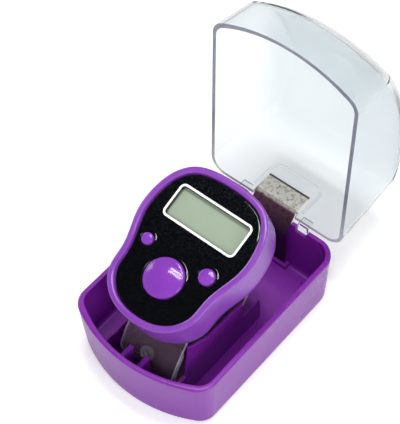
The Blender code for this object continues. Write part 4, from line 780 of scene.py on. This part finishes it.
# The deck is open under each button and under the display.
deck_holes = [circle(r + clearance, place) for place, r, _ in buttons.values()]
deck_holes.append(rounded_rectangle(26.6 * mm, 11.4 * mm, 0.3 * mm))
surfaces = [skin([at_level(housing_loop(s), n) for s, n in rim_profile]),
            flat_between(housing_loop(bezel), deck_holes, deck_top),
            flat_between(housing_loop(skirt), deck_holes, deck_low)]
surfaces += [skin([at_level(hole, deck_top), at_level(hole, deck_low)]) for hole in deck_holes]
verts, faces = gathered(surfaces)
upper = put_mesh("upper_shell", on_panel(verts), faces)
weigh_normals(face_outwards(upper))
upper.data.materials.append(shell_plastic)
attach(upper, "counter")
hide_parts("upper_shell")

# Front panel: a plate of black acrylic let into the bezel, with a window for the display and
# three round wells with bright bevels. A white line is printed round the window.

plate_edge, plate_bottom = bezel + 0.3 * mm, -1.2 * mm
window_wide, window_deep, window_round = 22.2 * mm, 8.6 * mm, 0.9 * mm
# Its outlines, each as a function of how far it is moved away from the edge into the plate.
outlines = [lambda s: housing_loop(plate_edge + s),
            lambda s: rounded_rectangle(window_wide + s, window_deep + s, window_round)]
outlines += [lambda s, r=r, place=place: circle(r + clearance + s, place) for place, r, _ in buttons.values()]
# Sections from the flat face to the edge: sloped down at the outside, rounded at the window, and up
# to a low lip round each well.
sloped = np.array([(0.5, 0.0), (0.34, -0.034), (0.10, -0.125), (0.03, -0.17), (0.0, -0.25)]) * mm
rounded = [(0.2 * mm * (1 - math.sin(a)), -0.2 * mm * (1 - math.cos(a)))
           for a in np.linspace(0, math.pi / 2, 5)]
lip = np.array([(0.5, 0.0), (0.34, 0.034), (0.10, 0.125), (0.04, 0.13), (0.0, 0.08)]) * mm
bevels = [sloped, rounded] + [lip] * len(buttons)
surfaces = [skin([at_level(f(s), n) for s, n in bevel] + [at_level(f(0), plate_bottom)])
            for f, bevel in zip(outlines, bevels)]
tops = [f(bevel[0][0]) for f, bevel in zip(outlines, bevels)]
surfaces.append(flat_between(tops[0], tops[1:], 0.0))
surfaces.append(flat_between(outlines[0](0), [f(0) for f in outlines[1:]], plate_bottom))
verts, faces = gathered(surfaces)
plate = put_mesh("front_plate", on_panel(verts), faces, smooth_below=9)
weigh_normals(face_outwards(plate))
# Black acrylic, polished: nearly black and mirror smooth, with dust that lies thicker to the rear, where it
# is also a painted sheen.
black_acrylic, tree, out = new_material("acrylic_black_polished")
where = add_node(tree, "ShaderNodeTexCoord").outputs["Object"]
dust = add_node(tree, "ShaderNodeTexNoise", Vector=where, Scale=1 / (0.5 * mm), Detail=5.0, Roughness=0.75)
specks = add_node(tree, "ShaderNodeMapRange", i0=dust.outputs[0], i1=0.50, i2=0.74, i3=0.0, i4=0.6)
# More specks to the rear: dust, and a painted sheen.
rearward = add_node(tree, "ShaderNodeSeparateXYZ", Vector=where).outputs[1]
rearward = add_node(tree, "ShaderNodeMapRange", i0=rearward, i1=-16 * mm, i2=11 * mm, i3=0.22, i4=1.0)
dust_and_sheen = add_node(tree, "ShaderNodeMath", {"operation": "MULTIPLY"}, i0=specks.outputs[0],
                  i1=rearward.outputs[0])
tone = add_node(tree, "ShaderNodeMix", {"data_type": "RGBA"}, i0=dust_and_sheen.outputs[0], i6=colour("06070A"),
                i7=colour("3E474B"))
gloss = add_node(tree, "ShaderNodeBsdfPrincipled", Base_Color=tone.outputs[2], Roughness=0.08, IOR=1.49)
tree.links.new(gloss.outputs[0], out.inputs[0])
plate.data.materials.append(black_acrylic)
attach(plate, "counter")
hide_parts("front_panel")

# The printed line: matt white screen ink 0.6 mm wide, standing 0.03 mm proud of the plate.
line_in = rounded_rectangle(22.45 * mm, 8.85 * mm, 1.0 * mm)
line_out = rounded_rectangle(23.7 * mm, 10.1 * mm, 1.65 * mm)
ink_low, ink_high = 0.005 * mm, 0.03 * mm
ring = np.stack([at_level(line_in, ink_low), at_level(line_in, ink_high), at_level(line_out, ink_high),
                 at_level(line_out, ink_low)])
border = face_outwards(put_mesh("printed_border", *skin(on_panel(ring), closed=True)))
white_ink, tree, out = new_material("screen_ink_white")
where = add_node(tree, "ShaderNodeTexCoord").outputs["Object"]
cover = add_node(tree, "ShaderNodeTexNoise", Vector=where, Scale=1 / (0.5 * mm), Detail=2.0)
tone = add_node(tree, "ShaderNodeMix", {"data_type": "RGBA"}, i0=cover.outputs[0], i6=colour("EDEEF0"),
                i7=colour("FFFFFF"))
ink = add_node(tree, "ShaderNodeBsdfPrincipled", Base_Color=tone.outputs[2], Roughness=0.45)
tree.links.new(ink.outputs[0], out.inputs[0])
border.data.materials.append(white_ink)
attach(border, "counter")

# Display: a bare grey-green liquid-crystal glass under the panel's window, switched off, over an
# opal light guide with its lamp, and a striped elastomer strip that joins it to the board.


def refinish(nodes, finish):
    """CAD nodes that keep their shape and take a finish in every slot."""
    for node in nodes:
        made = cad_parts[node]
        made.data.materials.clear()
        made.data.materials.append(finish)
        made.data.polygons.foreach_set("material_index", np.zeros(len(made.data.polygons), dtype=np.int32))


def mottled(name, dark, pale, size, roughness, **settings):
    """A finish whose colour drifts between two tones over patches of a size in millimetres."""
    made, tree, out = new_material(name)
    where = add_node(tree, "ShaderNodeTexCoord").outputs["Object"]
    patches = add_node(tree, "ShaderNodeTexNoise", Vector=where, Scale=1 / (size * mm), Detail=3.0)
    tone = add_node(tree, "ShaderNodeMix", {"data_type": "RGBA"}, i0=patches.outputs[0], i6=colour(dark),
                    i7=colour(pale))
    bump = add_node(tree, "ShaderNodeBump", Height=patches.outputs[0], Strength=0.15, Distance=0.01 * mm)
    shader = add_node(tree, "ShaderNodeBsdfPrincipled", Base_Color=tone.outputs[2], Roughness=roughness,
                      Normal=bump.outputs[0], **settings)
    tree.links.new(shader.outputs[0], out.inputs[0])
    return made


# Polarising film on glass: grey-green with a faint satin; opal acrylic: white and milky.
refinish(["lcd_glass"], mottled("liquid_crystal_glass_polarised", "95A48F", "A1AF9B", 6.0, 0.26))
refinish(["light_guide", "backlight_led"], mottled("acrylic_opal_moulded", "DDE2E0", "F0F2F1", 2.0, 0.3))
# Elastomer strip: carbon layers 0.18 mm apart between grey silicone.
striped, tree, out = new_material("elastomer_layered")
where = add_node(tree, "ShaderNodeTexCoord").outputs["Object"]
layers = add_node(tree, "ShaderNodeTexWave", {"bands_direction": "X"}, Vector=where, Scale=0.05 / (0.18 * mm))
tone = add_node(tree, "ShaderNodeMix", {"data_type": "RGBA"}, i0=layers.outputs[1], i6=colour("1A1A1C"),
                i7=colour("8E8E92"))
rubber = add_node(tree, "ShaderNodeBsdfPrincipled", Base_Color=tone.outputs[2], Roughness=0.6)
tree.links.new(rubber.outputs[0], out.inputs[0])
refinish(["zebra_strip"], striped)

# Circuit board: green lacquered laminate with the chip under a drop of black epoxy, and a domed
# nickel-plated switch below each button. All of it is closed in by the shells.

# Lacquer and epoxy shine softly; nickel plate is a pale, nearly mirror-bright metal.
refinish(["circuit_board"], mottled("laminate_lacquered_green", "1C5A30", "2A7140", 1.5, 0.3))
refinish(["chip_blob"], mottled("epoxy_black_poured", "0C0C0E", "1B1B1F", 0.8, 0.22))
nickel = mottled("steel_nickel_plated", "B4B4B2", "D2D0CC", 0.5, 0.25, Metallic=1.0)
refinish([f"{word}_switch" for word in buttons], nickel)

# Battery and fastenings: a button cell between two brass leaves, behind a purple ABS door with its
# own screw, and four screws through the lower shell. Cell and screws are nickel-plated steel.

refinish(["battery_cell", "battery_door_screw"] + [f"case_screw_{k}" for k in (1, 2, 3, 4)], nickel)
# Sprung brass: warm yellow and bright.
refinish(["battery_contact_negative", "battery_contact_positive"],
         mottled("brass_sprung_leaf", "B08A3E", "CBA757", 0.6, 0.3, Metallic=1.0))
refinish(["battery_door"], shell_plastic)

# Buttons: three domed caps in glossy purple ABS that stand out through the wells, each held by
# its flange under the deck and pushed back by the switch below it.

# The same ABS from a mirror-polished tool, so that the lamps show sharp on it.
button_plastic = moulded("abs_moulded_purple_polished", "7C36AA", "8C48BA", 0.4, 0.13, 0.0002, 0.8,
                         flecks=0.35)
# How wide each cap's rounded edge is, and how high its crown stands over that edge.
cap_shapes = {"count": (0.665 * mm, 1.035 * mm), "reset": (0.40 * mm, 0.155 * mm),
              "light": (0.45 * mm, 0.284 * mm)}
flange_low, flange_top, flange_reach, cap_side = -3.6 * mm, -3.0 * mm, 0.7 * mm, 0.2 * mm
for word, (place, radius, dome) in buttons.items():
    edge, crown = cap_shapes[word]
    inner, shoulder = radius - edge, dome - cap_side - crown
    # Flange and straight side, then a quarter ellipse for the edge, then a parabola for the crown.
    profile = [(radius * 0.4, flange_low), (radius + flange_reach, flange_low),
               (radius + flange_reach, flange_top), (radius, flange_top), (radius, cap_side)]
    profile += [(radius - edge * (1 - math.cos(a)), cap_side + shoulder * math.sin(a))
                for a in np.linspace(0.1, math.pi / 2, 12)]
    profile += [(inner * t, cap_side + shoulder + crown * (1 - t * t)) for t in np.linspace(0.97, 0.02, 40)]
    cap = put_mesh(f"{word}_cap", *skin([on_panel(at_level(circle(r, place, 128), n)) for r, n in profile],
                                        cap_first=True, cap_last=True))
    face_outwards(cap)
    cap.data.materials.append(button_plastic)
    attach(cap, f"{word}_button")
    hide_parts(f"{word}_button")

# Finger strap: a soft clear vinyl band in two halves, moulded flat. The front half lies over the
# rear half at the front and is held there by the rear half's stud.

# The hanging band's course, from the front slot down, along the tray's floor and up to the rear slot.
strap_points = np.array([(-20.2, 17.4), (-22.4, 14.5), (-25.1, 10.6), (-26.5, 7.4), (-25.8, 4.3),
                         (-22.6, 2.6), (-16.0, 2.3), (-9.0, 2.4), (-3.4, 3.6), (1.2, 6.6), (4.9, 10.2),
                         (9.8, 16.4), (12.6, 22.6), (12.9, 27.4)]) * mm
strap_thick, strap_wide, tab_wide, strap_edge = 1.0 * mm, 18.4 * mm, 9.2 * mm, 0.25 * mm
exit_at, shoulder_run, nose_run, nose_wide = 3.5 * mm, 1.4 * mm, 2.6 * mm, 10.0 * mm
tail, joggle_run, joggle_step, stud_height = 6.0 * mm, 8 * mm, 1.3 * mm, 10.9 * mm


def smooth_run(points, spacing):
    """Even points on a cubic curve through the given ones. Its slope at each is half the step from
    the point before to the point after."""
    ends = np.vstack([2 * points[0] - points[1], points, 2 * points[-1] - points[-2]])
    t = np.linspace(0, 1, 24, endpoint=False)[:, None, None]
    a, b, c, d = ends[:-3], ends[1:-2], ends[2:-1], ends[3:]
    curve = 0.5 * (2 * b + (c - a) * t + (2 * a - 5 * b + 4 * c - d) * t ** 2
                   + (3 * b - a - 3 * c + d) * t ** 3)
    fine = np.vstack([curve.transpose(1, 0, 2).reshape(-1, 2), points[-1:]])
    run = np.concatenate([[0], np.cumsum(np.linalg.norm(np.diff(fine, axis=0), axis=1))])
    at = np.linspace(0, run[-1], round(run[-1] / spacing) + 1)
    return np.column_stack([np.interp(at, run, fine[:, k]) for k in (0, 1)])


# From its bead inside the shell each half drops straight through its slot.
levels = (-11.5 * mm, -13.2 * mm, -15.0 * mm, -15.9 * mm)
front_drop = on_panel([(0, strap_slots[0], n) for n in levels])[:, 1:]
rear_drop = on_panel([(0, strap_slots[1], n) for n in levels[::-1]])[:, 1:]
loop = smooth_run(np.vstack([front_drop, strap_points, rear_drop]), 0.4 * mm)
along = np.gradient(loop, axis=0)
along /= np.linalg.norm(along, axis=1)[:, None]
inner_side = np.column_stack([-along[:, 1], along[:, 0]])
run = np.concatenate([[0], np.cumsum(np.linalg.norm(np.diff(loop, axis=0), axis=1))])
lowest = int(np.argmin(loop[:, 1]))
stud_at = float(np.interp(-stud_height, -loop[:lowest, 1], run[:lowest]))


def strap_width(run, end_run):
    """Width along a half: the tab in its slot, a quick shoulder, the full band, and a free end whose
    corners are rounded as quarter ellipses."""
    shoulder = np.clip((run - exit_at - 0.4 * mm) / shoulder_run, 0, 1)
    corner = np.clip(1 - (end_run - run) / nose_run, 0, 1)
    body = strap_wide - (strap_wide - nose_wide) * (1 - np.sqrt(1 - corner ** 2))
    return tab_wide + (body - tab_wide) * shoulder * shoulder * (3 - 2 * shoulder)


outer = run <= stud_at + tail
front_rings = strip_rings(loop[outer], strap_width(run[outer], stud_at + tail), strap_thick, strap_edge)
front_band = put_mesh("strap_front_band", *skin(front_rings, cap_first=True, cap_last=True))
# Where the rear half comes under the front one, it steps in by its thickness and a little more.
inside = run >= stud_at - tail
lift = np.clip((stud_at + tail + 2.4 * mm + joggle_run - run[inside]) / joggle_run, 0, 1)
lift = (lift * lift * (3 - 2 * lift) * joggle_step)[:, None]
rear_width = strap_width(run[-1] - run[inside], run[-1] - stud_at + tail)
rear_rings = strip_rings(loop[inside] + inner_side[inside] * lift, rear_width, strap_thick, strap_edge)
rear_band = put_mesh("strap_rear_band", *skin(rear_rings, cap_first=True, cap_last=True))
# The stud, turned about its own axis: neck, flat head, and a ring-shaped hollow in its face.
centre = np.array([np.interp(stud_at, run, loop[:, k]) for k in (0, 1)])
facing = np.array([np.interp(stud_at, run, inner_side[:, k]) for k in (0, 1)])
facing /= np.linalg.norm(facing)
lengthwise = np.array([-facing[1], facing[0]])
a = np.arange(48) * 2 * math.pi / 48
profile = [(1.2, 1.0), (1.2, -0.8), (2.0, -0.8), (2.15, -0.92), (2.15, -1.25), (2.08, -1.48), (1.9, -1.6),
           (1.7, -1.58), (1.55, -1.42), (1.4, -1.36), (1.15, -1.36), (1.0, -1.44), (0.9, -1.52), (0.75, -1.5),
           (0.6, -1.38), (0.2, -1.34)]
rings = [np.column_stack([np.cos(a) * r * mm,
                          centre + np.outer(np.sin(a) * r * mm, lengthwise) + facing * n * mm])
         for r, n in profile]
stud = put_mesh("strap_stud", *skin(rings, cap_first=True, cap_last=True))
# Soft vinyl, clear but smoky; its cut edges gather light and show as pale lines, and the stud is
# paler than the band, being thick.
clear_vinyl, tree, out = new_material("vinyl_soft_clear")
where = add_node(tree, "ShaderNodeTexCoord").outputs["Object"]
cloud = add_node(tree, "ShaderNodeTexNoise", Vector=where, Scale=1 / (7.7 * mm), Detail=2.0)
tone = add_node(tree, "ShaderNodeMix", {"data_type": "RGBA"}, i0=cloud.outputs[0], i6=colour("D2B8CC"),
                i7=colour("E0C8DA"))
ripple = add_node(tree, "ShaderNodeBump", Height=cloud.outputs[0], Strength=0.2, Distance=0.3 * mm)
soft_clear = add_node(tree, "ShaderNodeBsdfPrincipled", Base_Color=tone.outputs[2], Roughness=0.08, IOR=1.33,
                      Transmission_Weight=0.92, Normal=ripple.outputs[0])
tree.links.new(soft_clear.outputs[0], out.inputs[0])
vinyl_edge = mottled("vinyl_cut_edge", "D8CFE4", "F2ECF8", 1.5, 0.2, Transmission_Weight=0.15, IOR=1.4)
vinyl_stud = mottled("vinyl_moulded_stud", "D8C8DC", "F0E8F4", 0.9, 0.10, Transmission_Weight=0.88, IOR=1.42)
for piece, node in ((front_band, "strap_front"), (rear_band, "strap_rear")):
    piece.data.materials.append(clear_vinyl)
    piece.data.materials.append(vinyl_edge)
    normals = np.empty(3 * len(piece.data.polygons), dtype=np.float32)
    piece.data.polygons.foreach_get("normal", normals)
    piece.data.polygons.foreach_set("material_index", (np.abs(normals[::3]) > 0.5).astype(np.int32))
    face_outwards(piece)
    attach(piece, "counter")
    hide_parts(node)
stud.data.materials.append(vinyl_stud)
face_outwards(stud)
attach(stud, "counter")
